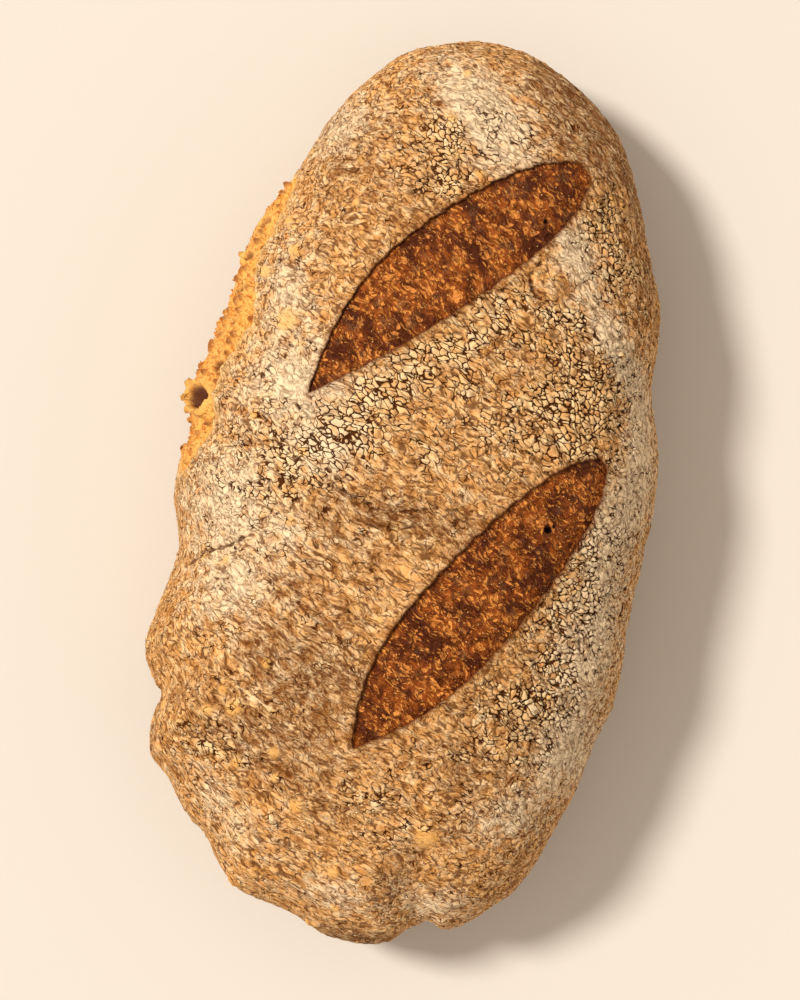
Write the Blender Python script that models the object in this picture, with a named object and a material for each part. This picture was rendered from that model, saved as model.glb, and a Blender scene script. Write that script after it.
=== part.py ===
"""A country loaf: one long hand-shaped bread, lying on its flat base.

The body is a box of quads mapped on to a dome with an uneven outline. Two slashes on top, a torn
side and two creases at the foot are cut out of it by closed cutters that follow its own surface.
Metres, +Z up, the long axis along Y with the head at +Y, the origin in the middle of the base.
"""

import math
from collections import namedtuple

import bmesh
import bpy
import numpy as np
from mathutils import Vector, noise
from mathutils.bvhtree import BVHTree

MM = 0.001

# The whole loaf, in millimetres
HALF_WIDTH = 77.5
HALF_LENGTH = 150.0
HEIGHT = 92.0
WIDEST_HEIGHT = 34.0
BASE_RATIO = 0.80

# Side of the body's quads, and the share of the width and length that the grid on top covers
CELL = 5.0
GRID_SHARE = 0.74

# How square the plan is at the head and the foot, and how full the dome is
HEAD_POWER = 2.05
FOOT_POWER = 2.5
DOME_PLAN_POWER = 2.3
DOME_RISE_POWER = 2.2
SWELL_FADE_RATIO = 0.5

# Places where the edge stands out or draws in: degrees round the loaf, outwards, spread
EdgeSwell = namedtuple("EdgeSwell", "angle out spread")
EDGE_SWELLS = (
    EdgeSwell(8.0, 1.4, 22.0),
    EdgeSwell(33.0, -3.2, 13.0),
    EdgeSwell(47.0, 1.4, 9.0),
    EdgeSwell(70.0, 2.9, 16.0),
    EdgeSwell(101.0, 1.0, 9.0),
    EdgeSwell(120.0, -4.0, 15.0),
    EdgeSwell(146.0, -2.7, 17.0),
    EdgeSwell(166.5, 3.2, 5.5),
    EdgeSwell(174.0, -2.0, 7.0),
    EdgeSwell(204.0, -4.4, 12.0),
    EdgeSwell(220.5, 5.2, 9.5),
    EdgeSwell(234.5, 6.0, 7.5),
    EdgeSwell(250.0, -5.6, 13.0),
    EdgeSwell(262.5, -5.6, 15.0),
    EdgeSwell(280.5, -5.0, 7.5),
    EdgeSwell(296.0, 3.2, 14.0),
    EdgeSwell(308.0, 1.6, 9.0),
    EdgeSwell(325.0, 2.6, 15.0),
)

# Low mounds and hollows of the upper crust: place in plan, height, spread
CrownSwell = namedtuple("CrownSwell", "x y height spread")
CROWN_SWELLS = (
    CrownSwell(-56.0, -96.0, 3.0, 20.0),
    CrownSwell(-60.0, -52.0, 2.0, 22.0),
    CrownSwell(-34.0, 6.0, 1.8, 18.0),
    CrownSwell(-40.0, -14.0, -1.5, 14.0),
    CrownSwell(66.0, 36.0, -2.2, 14.0),
    CrownSwell(24.0, -128.0, -2.0, 12.0),
    CrownSwell(46.0, -112.0, 2.2, 18.0),
    CrownSwell(2.0, -134.0, 2.0, 14.0),
    CrownSwell(6.0, 112.0, -1.2, 22.0),
)

# The two slashes: where the drawn-out tip lies, the way it runs, how wide it opens on either side
Slash = namedtuple("Slash", "tip bearing length left left_peak right right_peak")
SLASHES = (
    Slash((-38.5, 24.4), 49.2, 114.6, 19.0, 0.46, 10.9, 0.71),
    Slash((-4.8, -83.5), 58.9, 120.7, 16.0, 0.42, 14.2, 0.50),
)
SLASH_TIP_POWER = 1.9
SLASH_EDGE_DEPTH = 2.6
SLASH_MIDDLE_DEPTH = 0.5
SLASH_DEPTH_POWER = 3.0
SLASH_LUMP = 0.5
SLASH_LUMP_SIZE = 6.0
SLASH_ROWS = 26
SLASH_COLUMNS = 6

# The crust curls up a little along a slash
LIP_HEIGHT = 1.4
LIP_REACH = 6.0

# The torn side, on -X, as seen from that side: its two ends and how far it opens up and down
TEAR_FOOT_END = (-15.0, 47.0)
TEAR_HEAD_END = (91.0, 41.0)
TEAR_UP = 20.0
TEAR_DOWN = 14.0
TEAR_END_POWER = 3.0
TEAR_EDGE_DEPTH = 2.6
TEAR_MIDDLE_DEPTH = 0.9
TEAR_LUMP = 1.3
TEAR_LUMP_SIZE = 8.0
TEAR_ROWS = 30
TEAR_COLUMNS = 8

# Where the crust's torn edge wanders: place along the loaf, upwards, spread
TEAR_TONGUES = ((46.0, 4.0, 7.0), (28.0, -2.5, 6.0), (13.0, 3.5, 6.0), (66.0, -2.0, 8.0))

# Creases where the dough was folded under: degrees round the loaf at the base and at the top end,
# how far up it climbs, half width of the wedge and its depth at the base
Fold = namedtuple("Fold", "base_angle top_angle climb width depth")
FOLDS = (
    Fold(230.6, 228.7, 0.30, 3.4, 4.5),
    Fold(280.3, 283.0, 0.32, 3.4, 4.5),
)
FOLD_RINGS = 12
FOLD_STAND_OUT = 3.0
FOLD_BELOW_BASE = 6.0
FOLD_END_SHARE = 0.25

# How far a cutter reaches out past the crust, and points closer than this are one
SLASH_CUTTER_REACH = 30.0
TEAR_CUTTER_REACH = 60.0
MERGE_DISTANCE = 0.01

CRUST_COLOUR = (0.42, 0.22, 0.09, 1.0)
CRUST_ROUGHNESS = 0.85


def smooth_step(value):
    """Rise from 0 to 1 with soft ends."""
    value = min(max(value, 0.0), 1.0)
    return value * value * (3.0 - 2.0 * value)


def plain_radius(angle):
    """Distance from the middle to the edge of the even plan."""
    power = HEAD_POWER if math.sin(angle) > 0.0 else FOOT_POWER
    across = abs(math.cos(angle)) / HALF_WIDTH
    along = abs(math.sin(angle)) / HALF_LENGTH
    return (across**power + along**power) ** (-1.0 / power)


def edge_swell(angle):
    """How far the hand-shaped edge stands outside the even plan."""
    total = 0.0
    for swell in EDGE_SWELLS:
        turn = (angle - math.radians(swell.angle) + math.pi) % math.tau - math.pi
        away = turn * plain_radius(math.radians(swell.angle))
        total += swell.out * math.exp(-((away / swell.spread) ** 2))
    return total


def edge_share(along, across):
    """How near a point of an opening is to its edge, from 0 in the middle to 1, also at its ends."""
    return abs(across) if 0.0 < along < 1.0 else 1.0


def slash_half_width(along, widest, peak):
    """Half the opening of a slash: a drawn-out tip at 0 and a full round end at 1."""
    if along < peak:
        return widest * (1.0 - (1.0 - along / peak) ** SLASH_TIP_POWER)
    return widest * math.sqrt(max(0.0, 1.0 - ((along - peak) / (1.0 - peak)) ** 2))


def slash_point(slash, along, across):
    """The plan place in a slash, from 0 to 1 along it and from -1 to 1 across it."""
    bearing = math.radians(slash.bearing)
    widest, peak = (slash.left, slash.left_peak) if across > 0.0 else (slash.right, slash.right_peak)
    side = across * slash_half_width(along, widest, peak)
    x = slash.tip[0] + along * slash.length * math.cos(bearing) - side * math.sin(bearing)
    y = slash.tip[1] + along * slash.length * math.sin(bearing) + side * math.cos(bearing)
    return x, y


def slash_steps():
    """Places along a slash, closer together at its round end."""
    return [math.sin(0.5 * math.pi * row / SLASH_ROWS) for row in range(SLASH_ROWS + 1)]


def slash_loop(slash):
    """The closed edge of a slash in plan."""
    steps = slash_steps()
    left = [slash_point(slash, along, 1.0) for along in steps]
    right = [slash_point(slash, along, -1.0) for along in reversed(steps[1:-1])]
    return np.array(left + right)


SLASH_LOOPS = [slash_loop(slash) for slash in SLASHES]


def distance_to_loop(x, y, loop):
    """Shortest distance in plan from a point to a closed edge."""
    ends = np.roll(loop, -1, axis=0)
    runs = ends - loop
    offsets = np.array((x, y)) - loop
    share = np.clip((offsets * runs).sum(axis=1) / (runs * runs).sum(axis=1), 0.0, 1.0)
    return float(np.linalg.norm(offsets - share[:, None] * runs, axis=1).min())


def crown_swell(x, y):
    """Height of the mounds, the hollows and the curled lips over the even dome."""
    total = 0.0
    for swell in CROWN_SWELLS:
        away = math.hypot(x - swell.x, y - swell.y)
        total += swell.height * math.exp(-((away / swell.spread) ** 2))
    for loop in SLASH_LOOPS:
        total += LIP_HEIGHT * math.exp(-((distance_to_loop(x, y, loop) / LIP_REACH) ** 2))
    return total


def skin(angle, climb):
    """The crust at an angle round the loaf: climb is -1 at the base's rim and 1 on top."""
    turn = abs(climb) * 0.5 * math.pi
    if climb < 0.0:
        ratio = BASE_RATIO + (1.0 - BASE_RATIO) * math.cos(turn)
        z = WIDEST_HEIGHT * (1.0 - math.sin(turn))
    else:
        ratio = max(0.0, math.cos(turn)) ** (2.0 / DOME_PLAN_POWER)
        z = WIDEST_HEIGHT + (HEIGHT - WIDEST_HEIGHT) * math.sin(turn) ** (2.0 / DOME_RISE_POWER)
    fade = smooth_step((ratio - SWELL_FADE_RATIO) / (1.0 - SWELL_FADE_RATIO))
    radius = ratio * (plain_radius(angle) + fade * edge_swell(angle))
    x, y = radius * math.cos(angle), radius * math.sin(angle)
    return Vector((x, y, z + smooth_step(2.0 * climb) * crown_swell(x, y))) * MM


def on_dome(corner):
    """Map a point of the box from -1 to 1 on to the crust, keeping the quads even."""
    u, v, w = (math.tan(0.25 * math.pi * value) for value in corner)
    angle = math.atan2(v * HALF_LENGTH, u * HALF_WIDTH)
    if w < 0.0:
        return skin(angle, corner[2])
    return skin(angle, math.atan2(w, math.hypot(u, v)) / (0.5 * math.pi))


def new_object(name, mesh):
    """Turn a bmesh into an object of the scene, with its faces pointing out."""
    bmesh.ops.recalc_face_normals(mesh, faces=mesh.faces)
    if mesh.calc_volume(signed=True) < 0.0:
        bmesh.ops.reverse_faces(mesh, faces=mesh.faces)
    data = bpy.data.meshes.new(name)
    mesh.to_mesh(data)
    mesh.free()
    thing = bpy.data.objects.new(name, data)
    bpy.context.scene.collection.objects.link(thing)
    return thing


def make_body():
    """The uncut loaf: a grid over the top, its edge drawn down in rings, and a flat base."""
    columns = round(2.0 * HALF_WIDTH * GRID_SHARE / CELL)
    rows = round(2.0 * HALF_LENGTH * GRID_SHARE / CELL)
    rings = round(HEIGHT / CELL)
    mesh = bmesh.new()
    bmesh.ops.create_grid(mesh, x_segments=columns, y_segments=rows, size=1.0)
    bmesh.ops.translate(mesh, vec=(0.0, 0.0, 1.0), verts=mesh.verts)
    for _ in range(rings):
        rim = [edge for edge in mesh.edges if edge.is_boundary]
        drawn = bmesh.ops.extrude_edge_only(mesh, edges=rim)["geom"]
        corners = [item for item in drawn if isinstance(item, bmesh.types.BMVert)]
        bmesh.ops.translate(mesh, vec=(0.0, 0.0, -2.0 / rings), verts=corners)
    for vert in mesh.verts:
        vert.co = on_dome([min(max(value, -1.0), 1.0) for value in vert.co])
    bmesh.ops.holes_fill(mesh, edges=[edge for edge in mesh.edges if edge.is_boundary])
    return new_object("loaf", mesh)


def make_cutter(name, rows, outwards):
    """A closed cutter: a sheet of points just under the crust, drawn outwards through it."""
    mesh = bmesh.new()
    corners = [[mesh.verts.new(point) for point in row] for row in rows]
    for near, far in zip(corners, corners[1:]):
        for k in range(len(near) - 1):
            mesh.faces.new((near[k], near[k + 1], far[k + 1], far[k]))
    bmesh.ops.remove_doubles(mesh, verts=mesh.verts, dist=MERGE_DISTANCE * MM)
    drawn = bmesh.ops.extrude_face_region(mesh, geom=mesh.faces[:])["geom"]
    outer = [item for item in drawn if isinstance(item, bmesh.types.BMVert)]
    bmesh.ops.translate(mesh, vec=outwards, verts=outer)
    return as_cutter(new_object(name, mesh))


def as_cutter(thing):
    """Mark an object as a guide that is not part of the loaf."""
    thing.hide_render = True
    thing.display_type = "WIRE"
    bpy.context.scene.collection.objects.unlink(thing)
    CUTTERS.objects.link(thing)
    return thing


def make_slash_cutter(number, slash, crust):
    """Follow the crust a little below it, deepest along the edge of the slash."""
    rows = []
    for along in slash_steps():
        row = []
        for column in range(SLASH_COLUMNS + 1):
            across = 1.0 - 2.0 * column / SLASH_COLUMNS
            x, y = slash_point(slash, along, across)
            top = crust.ray_cast(Vector((x * MM, y * MM, 2.0 * HEIGHT * MM)), Vector((0, 0, -1)))[0]
            lump = SLASH_LUMP * noise.noise(Vector((x, y, 0.0)) / SLASH_LUMP_SIZE)
            share = edge_share(along, across) ** SLASH_DEPTH_POWER
            hollow = (SLASH_EDGE_DEPTH - SLASH_MIDDLE_DEPTH) * share
            row.append(top - Vector((0.0, 0.0, (SLASH_MIDDLE_DEPTH + hollow + lump) * MM)))
        rows.append(row)
    return make_cutter(f"slash_cutter_{number}", rows, (0.0, 0.0, SLASH_CUTTER_REACH * MM))


def tear_height(along, across):
    """The height of a point of the torn side, from -1 at its lower edge to 1 at its upper one."""
    y = TEAR_FOOT_END[0] + along * (TEAR_HEAD_END[0] - TEAR_FOOT_END[0])
    middle = TEAR_FOOT_END[1] + along * (TEAR_HEAD_END[1] - TEAR_FOOT_END[1])
    open_share = math.sqrt(max(0.0, 1.0 - abs(2.0 * along - 1.0) ** TEAR_END_POWER))
    if across < 0.0:
        return middle + across * TEAR_DOWN * open_share
    tongues = sum(up * math.exp(-(((y - at) / spread) ** 2)) for at, up, spread in TEAR_TONGUES)
    return middle + across * (TEAR_UP + tongues) * open_share


def make_tear_cutter(crust):
    """Follow the side a little below the crust, with the lumps of the torn crumb."""
    rows = []
    for step in range(TEAR_ROWS + 1):
        along = 0.5 - 0.5 * math.cos(math.pi * step / TEAR_ROWS)
        y = TEAR_FOOT_END[0] + along * (TEAR_HEAD_END[0] - TEAR_FOOT_END[0])
        row = []
        for column in range(TEAR_COLUMNS + 1):
            across = 1.0 - 2.0 * column / TEAR_COLUMNS
            z = tear_height(along, across)
            side = crust.ray_cast(Vector((-2.0 * HALF_LENGTH, y, z)) * MM, Vector((1, 0, 0)))[0]
            lump = TEAR_LUMP * noise.noise(Vector((3.0 * HEIGHT, y, z)) / TEAR_LUMP_SIZE)
            hollow = (TEAR_EDGE_DEPTH - TEAR_MIDDLE_DEPTH) * edge_share(along, across) ** 2
            row.append(side + Vector(((TEAR_MIDDLE_DEPTH + hollow + lump) * MM, 0.0, 0.0)))
        rows.append(row)
    return make_cutter("tear_cutter", rows, (-TEAR_CUTTER_REACH * MM, 0.0, 0.0))


def make_fold_cutter(number, fold):
    """A tapered wedge up the side, from below the base to where the crease runs out."""
    mesh = bmesh.new()
    rings = []
    for step in range(FOLD_RINGS + 1):
        share = step / FOLD_RINGS
        angle = math.radians(fold.base_angle + share * (fold.top_angle - fold.base_angle))
        climb = -1.0 + share * (1.0 + fold.climb)
        place = skin(angle, climb)
        round_way = (skin(angle + 0.01, climb) - place).normalized()
        up_way = (skin(angle, climb + 0.01) - place).normalized()
        outwards = round_way.cross(up_way)
        fade = 1.0 - share**3
        side = fold.width * (FOLD_END_SHARE + (1.0 - FOLD_END_SHARE) * fade) * MM * round_way
        outer = place + FOLD_STAND_OUT * MM * outwards
        inner = place - fold.depth * fade * MM * outwards
        rings.append([outer - side, inner, outer + side])
    below = [point - Vector((0.0, 0.0, FOLD_BELOW_BASE * MM)) for point in rings[0]]
    corners = [[mesh.verts.new(point) for point in ring] for ring in [below] + rings]
    for near, far in zip(corners, corners[1:]):
        for k in range(3):
            mesh.faces.new((near[k], near[(k + 1) % 3], far[(k + 1) % 3], far[k]))
    mesh.faces.new(corners[0])
    mesh.faces.new(corners[-1])
    return as_cutter(new_object(f"fold_cutter_{number}", mesh))


def crust_material():
    """Browned crust."""
    material = bpy.data.materials.new("browned_crust")
    material.use_nodes = True
    shader = material.node_tree.nodes["Principled BSDF"]
    shader.inputs["Base Color"].default_value = CRUST_COLOUR
    shader.inputs["Roughness"].default_value = CRUST_ROUGHNESS
    shader.inputs["Metallic"].default_value = 0.0
    return material


for old in list(bpy.data.objects):
    bpy.data.objects.remove(old, do_unlink=True)

CUTTERS = bpy.data.collections.new("cutters")
bpy.context.scene.collection.children.link(CUTTERS)

loaf = make_body()
loaf.data.materials.append(crust_material())
bpy.context.view_layer.update()
whole_crust = BVHTree.FromObject(loaf, bpy.context.evaluated_depsgraph_get())
for count, one_slash in enumerate(SLASHES):
    make_slash_cutter(count, one_slash, whole_crust)
make_tear_cutter(whole_crust)
for count, one_fold in enumerate(FOLDS):
    make_fold_cutter(count, one_fold)

cuts = loaf.modifiers.new("slashes, tear and folds", "BOOLEAN")
cuts.operation = "DIFFERENCE"
cuts.solver = "EXACT"
cuts.operand_type = "COLLECTION"
cuts.collection = CUTTERS
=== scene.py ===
import math

import bpy
import numpy as np
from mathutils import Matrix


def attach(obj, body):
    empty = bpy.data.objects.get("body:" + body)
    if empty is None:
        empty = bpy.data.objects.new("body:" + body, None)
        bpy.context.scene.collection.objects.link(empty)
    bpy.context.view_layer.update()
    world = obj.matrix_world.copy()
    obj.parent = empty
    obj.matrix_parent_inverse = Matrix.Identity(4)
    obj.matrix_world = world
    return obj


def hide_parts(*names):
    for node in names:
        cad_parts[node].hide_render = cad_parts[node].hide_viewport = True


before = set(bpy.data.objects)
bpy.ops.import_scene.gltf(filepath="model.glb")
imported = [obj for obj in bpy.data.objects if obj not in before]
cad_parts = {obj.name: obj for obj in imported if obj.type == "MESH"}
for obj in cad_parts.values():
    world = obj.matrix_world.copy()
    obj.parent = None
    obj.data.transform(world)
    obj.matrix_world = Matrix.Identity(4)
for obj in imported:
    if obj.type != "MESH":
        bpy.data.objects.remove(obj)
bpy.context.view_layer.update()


# Form of the loaf
# A long country loaf shaped by hand and baked on a flat stone: a full dome, an uneven edge that stands
# out furthest at a third of its height, and a rounded rim drawn in to the flat base. All of its crust
# and crumb follows this one form, in millimetres, with angles counted round the loaf from +X.
MM = 0.001
HALF_WIDTH = 77.5
HALF_LENGTH = 150.0
HEIGHT = 92.0
WIDEST_HEIGHT = 34.0
BASE_RATIO = 0.80
HEAD_POWER = 2.05
FOOT_POWER = 2.5
DOME_PLAN_POWER = 2.3
DOME_RISE_POWER = 2.2
SWELL_FADE_RATIO = 0.5

# degrees round the loaf, outwards, spread
EDGE_SWELLS = (
    (8.0, 1.4, 22.0),
    (33.0, -3.2, 13.0),
    (47.0, 1.4, 9.0),
    (70.0, 2.9, 16.0),
    (101.0, 1.0, 9.0),
    (120.0, -4.0, 15.0),
    (146.0, -2.7, 17.0),
    (166.5, 3.2, 5.5),
    (174.0, -2.0, 7.0),
    (204.0, -4.4, 12.0),
    (220.5, 5.2, 9.5),
    (234.5, 6.0, 7.5),
    (250.0, -5.6, 13.0),
    (262.5, -5.6, 15.0),
    (280.5, -5.0, 7.5),
    (296.0, 3.2, 14.0),
    (308.0, 1.6, 9.0),
    (325.0, 2.6, 15.0),
)

# place in plan, height, spread
CROWN_SWELLS = (
    (-56.0, -96.0, 3.0, 20.0),
    (-60.0, -52.0, 2.0, 22.0),
    (-34.0, 6.0, 1.8, 18.0),
    (-40.0, -14.0, -1.5, 14.0),
    (66.0, 36.0, -2.2, 14.0),
    (24.0, -128.0, -2.0, 12.0),
    (46.0, -112.0, 2.2, 18.0),
    (2.0, -134.0, 2.0, 14.0),
    (6.0, 112.0, -1.2, 22.0),
)


def smooth_step(value):
    """Rise from 0 to 1 with soft ends."""
    value = np.clip(value, 0.0, 1.0)
    return value * value * (3.0 - 2.0 * value)


def plain_radius(angle):
    """Distance from the middle to the edge of the even plan."""
    power = np.where(np.sin(angle) > 0.0, HEAD_POWER, FOOT_POWER)
    across = np.abs(np.cos(angle)) / HALF_WIDTH
    along = np.abs(np.sin(angle)) / HALF_LENGTH
    return (across**power + along**power) ** (-1.0 / power)


def edge_swell(angle):
    """How far the hand-shaped edge stands outside the even plan."""
    total = np.zeros_like(angle)
    for degrees, out, spread in EDGE_SWELLS:
        turn = (angle - math.radians(degrees) + math.pi) % math.tau - math.pi
        away = turn * plain_radius(math.radians(degrees))
        total += out * np.exp(-((away / spread) ** 2))
    return total


def radius_at(angle, ratio):
    """Distance from the loaf's axis to the crust, where ratio is 1 at the widest level."""
    fade = smooth_step((ratio - SWELL_FADE_RATIO) / (1.0 - SWELL_FADE_RATIO))
    return ratio * (plain_radius(angle) + fade * edge_swell(angle))


def level_at(climb):
    """Ratio and height at a climb of -1 at the base's rim, 0 at the widest level and 1 on top."""
    turn = np.abs(climb) * 0.5 * math.pi
    under = BASE_RATIO + (1.0 - BASE_RATIO) * np.cos(turn)
    over = np.maximum(np.cos(turn), 0.0) ** (2.0 / DOME_PLAN_POWER)
    rise = (HEIGHT - WIDEST_HEIGHT) * np.sin(turn) ** (2.0 / DOME_RISE_POWER)
    height = np.where(climb < 0.0, WIDEST_HEIGHT * (1.0 - np.sin(turn)), WIDEST_HEIGHT + rise)
    return np.where(climb < 0.0, under, over), height


def crown_swell(x, y):
    """Height of the mounds and hollows over the even dome."""
    total = np.zeros_like(x)
    for at_x, at_y, height, spread in CROWN_SWELLS:
        total += height * np.exp(-((x - at_x) ** 2 + (y - at_y) ** 2) / spread**2)
    return total


def skin(angle, climb):
    """Points of the crust, without its curled lips."""
    ratio, height = level_at(climb)
    radius = radius_at(angle, ratio)
    x, y = radius * np.cos(angle), radius * np.sin(angle)
    return np.stack([x, y, height + smooth_step(2.0 * climb) * crown_swell(x, y)], axis=-1)


def climb_over(x, y):
    """Angle and climb of the crust above a place in plan."""
    angle, away = np.arctan2(y, x), np.hypot(x, y)
    ratio = np.clip(away / plain_radius(angle), 0.0, 1.0)
    for _ in range(8):
        ratio = np.clip(away * ratio / np.maximum(radius_at(angle, ratio), 1e-6), 0.0, 1.0)
    return angle, np.arccos(ratio ** (DOME_PLAN_POWER / 2.0)) / (0.5 * math.pi)


def climb_beside(y, z):
    """Angle and climb of the crust on the -X side, at a place along the loaf and a height."""
    rise = np.clip((z - WIDEST_HEIGHT) / (HEIGHT - WIDEST_HEIGHT), 0.0, 1.0)
    upper = np.arcsin(rise ** (DOME_RISE_POWER / 2.0)) / (0.5 * math.pi)
    lower = -np.arcsin(np.clip(1.0 - z / WIDEST_HEIGHT, 0.0, 1.0)) / (0.5 * math.pi)
    climb = np.where(z > WIDEST_HEIGHT, upper, lower)
    ratio = level_at(climb)[0]
    headmost, footmost = np.full_like(y, 0.5 * math.pi), np.full_like(y, 1.5 * math.pi)
    for _ in range(24):
        angle = 0.5 * (headmost + footmost)
        beyond = radius_at(angle, ratio) * np.sin(angle) > y
        headmost, footmost = np.where(beyond, angle, headmost), np.where(beyond, footmost, angle)
    return angle, climb


# Openings of the crust
# The baker slashed the dough twice, slanting over the top, and the crust burst once more along the
# -X side. Each opening is a closed edge: the slashes as seen from above, the tear as seen from its side.
SLASHES = {
    # tip in plan, bearing, length, opening to the left and where it is widest, the same to the right,
    # and how fast the tip opens
    "upper_slash": ((-38.5, 24.4), 49.2, 114.6, 19.0, 0.46, 10.9, 0.71, 1.9),
    "lower_slash": ((-4.8, -83.5), 58.9, 120.7, 16.0, 0.42, 14.2, 0.50, 2.5),
}
SLASH_STEPS = 150
# length and size of the waves along an edge
SLASH_RAGS = ((3.7, 0.32), (1.35, 0.2))
TEAR_FOOT_END = (-8.0, 47.0)
TEAR_HEAD_END = (96.0, 41.0)
TEAR_UP = 20.0
TEAR_DOWN = 14.0
TEAR_END_POWER = 3.0
TEAR_STEPS = 150
# place along the loaf, how far out, spread
TEAR_TONGUES = ((46.0, 4.0, 7.0), (28.0, -2.5, 6.0), (13.0, 3.5, 6.0), (66.0, -2.0, 8.0))
TEAR_LOWER_TONGUES = ((74.0, 9.0, 20.0), (58.0, -3.0, 5.0), (34.0, 2.5, 5.0))
TEAR_RAGS = ((2.1, 0.55), (4.7, 0.45), (9.3, 0.3))
TEAR_LOWER_RAG = 1.3


def slash_half_width(along, widest, peak, tip_power):
    """Half the opening of a slash: a drawn-out tip at 0 and a full round end at 1."""
    tip = 1.0 - (1.0 - np.minimum(along / peak, 1.0)) ** tip_power
    far = np.sqrt(np.maximum(0.0, 1.0 - (np.maximum(along - peak, 0.0) / (1.0 - peak)) ** 2))
    return widest * np.where(along < peak, tip, far)


def slash_point(slash, along, across, spare=0.0):
    """Plan places in a slash; spare makes it that much longer and wider all round."""
    tip, bearing, length, left, left_peak, right, right_peak, tip_power = slash
    bearing = math.radians(bearing)
    wider = spare * np.sqrt(np.clip(1.0 - (2.0 * along - 1.0) ** 2, 0.0, 1.0))
    left_side = slash_half_width(along, left, left_peak, tip_power) + wider
    right_side = slash_half_width(along, right, right_peak, tip_power) + wider
    side = across * np.where(across > 0.0, left_side, right_side)
    ahead = along * (length + 2.0 * spare) - spare
    x = tip[0] + ahead * math.cos(bearing) - side * math.sin(bearing)
    y = tip[1] + ahead * math.sin(bearing) + side * math.cos(bearing)
    return x, y


def slash_loop(slash):
    """The closed edge of a slash in plan."""
    along = np.sin(0.5 * math.pi * np.arange(SLASH_STEPS + 1) / SLASH_STEPS)
    left = np.stack(slash_point(slash, along, np.ones_like(along)), axis=1)
    right = np.stack(slash_point(slash, along, -np.ones_like(along)), axis=1)
    loop = np.concatenate([left, right[-2:0:-1]])
    middle = loop.mean(axis=0)
    rags = sum(size * np.sin(loop @ (1.9, 2.3) / length + length) for length, size in SLASH_RAGS)
    return middle + (loop - middle) * (1.0 + rags / np.linalg.norm(loop - middle, axis=1))[:, None]


def tongues(y, table):
    """How far the tongues of an edge stand out along the loaf."""
    return sum(rise * np.exp(-(((y - at) / spread) ** 2)) for at, rise, spread in table)


def tear_loop():
    """The ragged closed edge of the tear, as places along the loaf and heights."""
    along = 0.5 - 0.5 * np.cos(math.pi * np.arange(TEAR_STEPS + 1) / TEAR_STEPS)
    y = TEAR_FOOT_END[0] + along * (TEAR_HEAD_END[0] - TEAR_FOOT_END[0])
    middle = TEAR_FOOT_END[1] + along * (TEAR_HEAD_END[1] - TEAR_FOOT_END[1])
    open_share = np.sqrt(np.maximum(0.0, 1.0 - np.abs(2.0 * along - 1.0) ** TEAR_END_POWER))
    rags = sum(size * np.sin(y * 3.0 / length + length) for length, size in TEAR_RAGS)
    upper = middle + open_share * (TEAR_UP + tongues(y, TEAR_TONGUES) + rags)
    lower = middle - open_share * (TEAR_DOWN - tongues(y, TEAR_LOWER_TONGUES) + TEAR_LOWER_RAG * rags)
    upper, lower = np.stack([y, upper], axis=1), np.stack([y, lower], axis=1)
    return np.concatenate([upper, lower[-2:0:-1]])


def beyond_loop(points, loop):
    """Distance outside a closed edge, less than 0 inside it, and the nearest point of the edge."""
    nearest = np.full(len(points), np.inf)
    closest = np.zeros_like(points)
    inside = np.zeros(len(points), bool)
    for start, end in zip(loop, np.roll(loop, -1, axis=0)):
        run = end - start
        share = np.clip(((points - start) @ run) / max(run @ run, 1e-9), 0.0, 1.0)
        on_edge = start + share[:, None] * run
        away = np.linalg.norm(points - on_edge, axis=1)
        closer = away < nearest
        nearest[closer], closest[closer] = away[closer], on_edge[closer]
        if start[1] != end[1]:
            crossing = start[0] + (points[:, 1] - start[1]) / run[1] * run[0]
            inside ^= ((start[1] > points[:, 1]) != (end[1] > points[:, 1])) & (points[:, 0] < crossing)
    return np.where(inside, -nearest, nearest), closest


# Crust
# The browned, floured skin of the loaf, baked hard and crazed into plates. It is one even sheet of
# quads laid over the form, opened along the slashes and the tear with a curled lip and a short drop,
# and then roughened by the crackle before it is parted into its pieces.
CROWN_COLUMNS = 273
CROWN_ROWS = 529
FLANK_RINGS = 87
SKIRT_RINGS = 50
SNAP_REACH = 0.24
LIP_HEIGHT = 0.9
LIP_REACH = 6.0
OPENING_DROP = 3.0
CALM_REACH = 1.6
NEAR_OPENING = 14.0
RIM_REACH = 0.7
TORN_RIM_REACH = 0.9

# x, y, half length, half width, bearing, amount
CRACKLE_PATCHES = (
    (-10.0, 105.0, 20.0, 10.0, -65.0, 0.6),
    (8.0, 116.0, 14.0, 10.0, 0.0, 0.3),
    (46.0, 92.0, 22.0, 9.0, -60.0, 0.5),
    (38.0, 58.0, 18.0, 10.0, -30.0, 0.35),
    (6.0, 46.0, 24.0, 10.0, 35.0, 0.5),
    (-24.0, 18.0, 22.0, 9.0, 50.0, 0.65),
    (46.0, 33.0, 19.0, 14.0, 60.0, 0.7),
    (10.0, 22.0, 30.0, 12.0, 20.0, 0.28),
    (58.0, -24.0, 38.0, 13.0, 86.0, 0.53),
    (44.0, -66.0, 20.0, 13.0, 50.0, 0.4),
    (-46.0, 0.0, 22.0, 20.0, 90.0, 0.32),
    (-50.0, -90.0, 13.0, 10.0, 0.0, 0.35),
    (14.0, -100.0, 24.0, 9.0, 0.0, 0.25),
    (28.0, 74.0, 6.0, 5.0, -50.0, -0.6),
)
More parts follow.
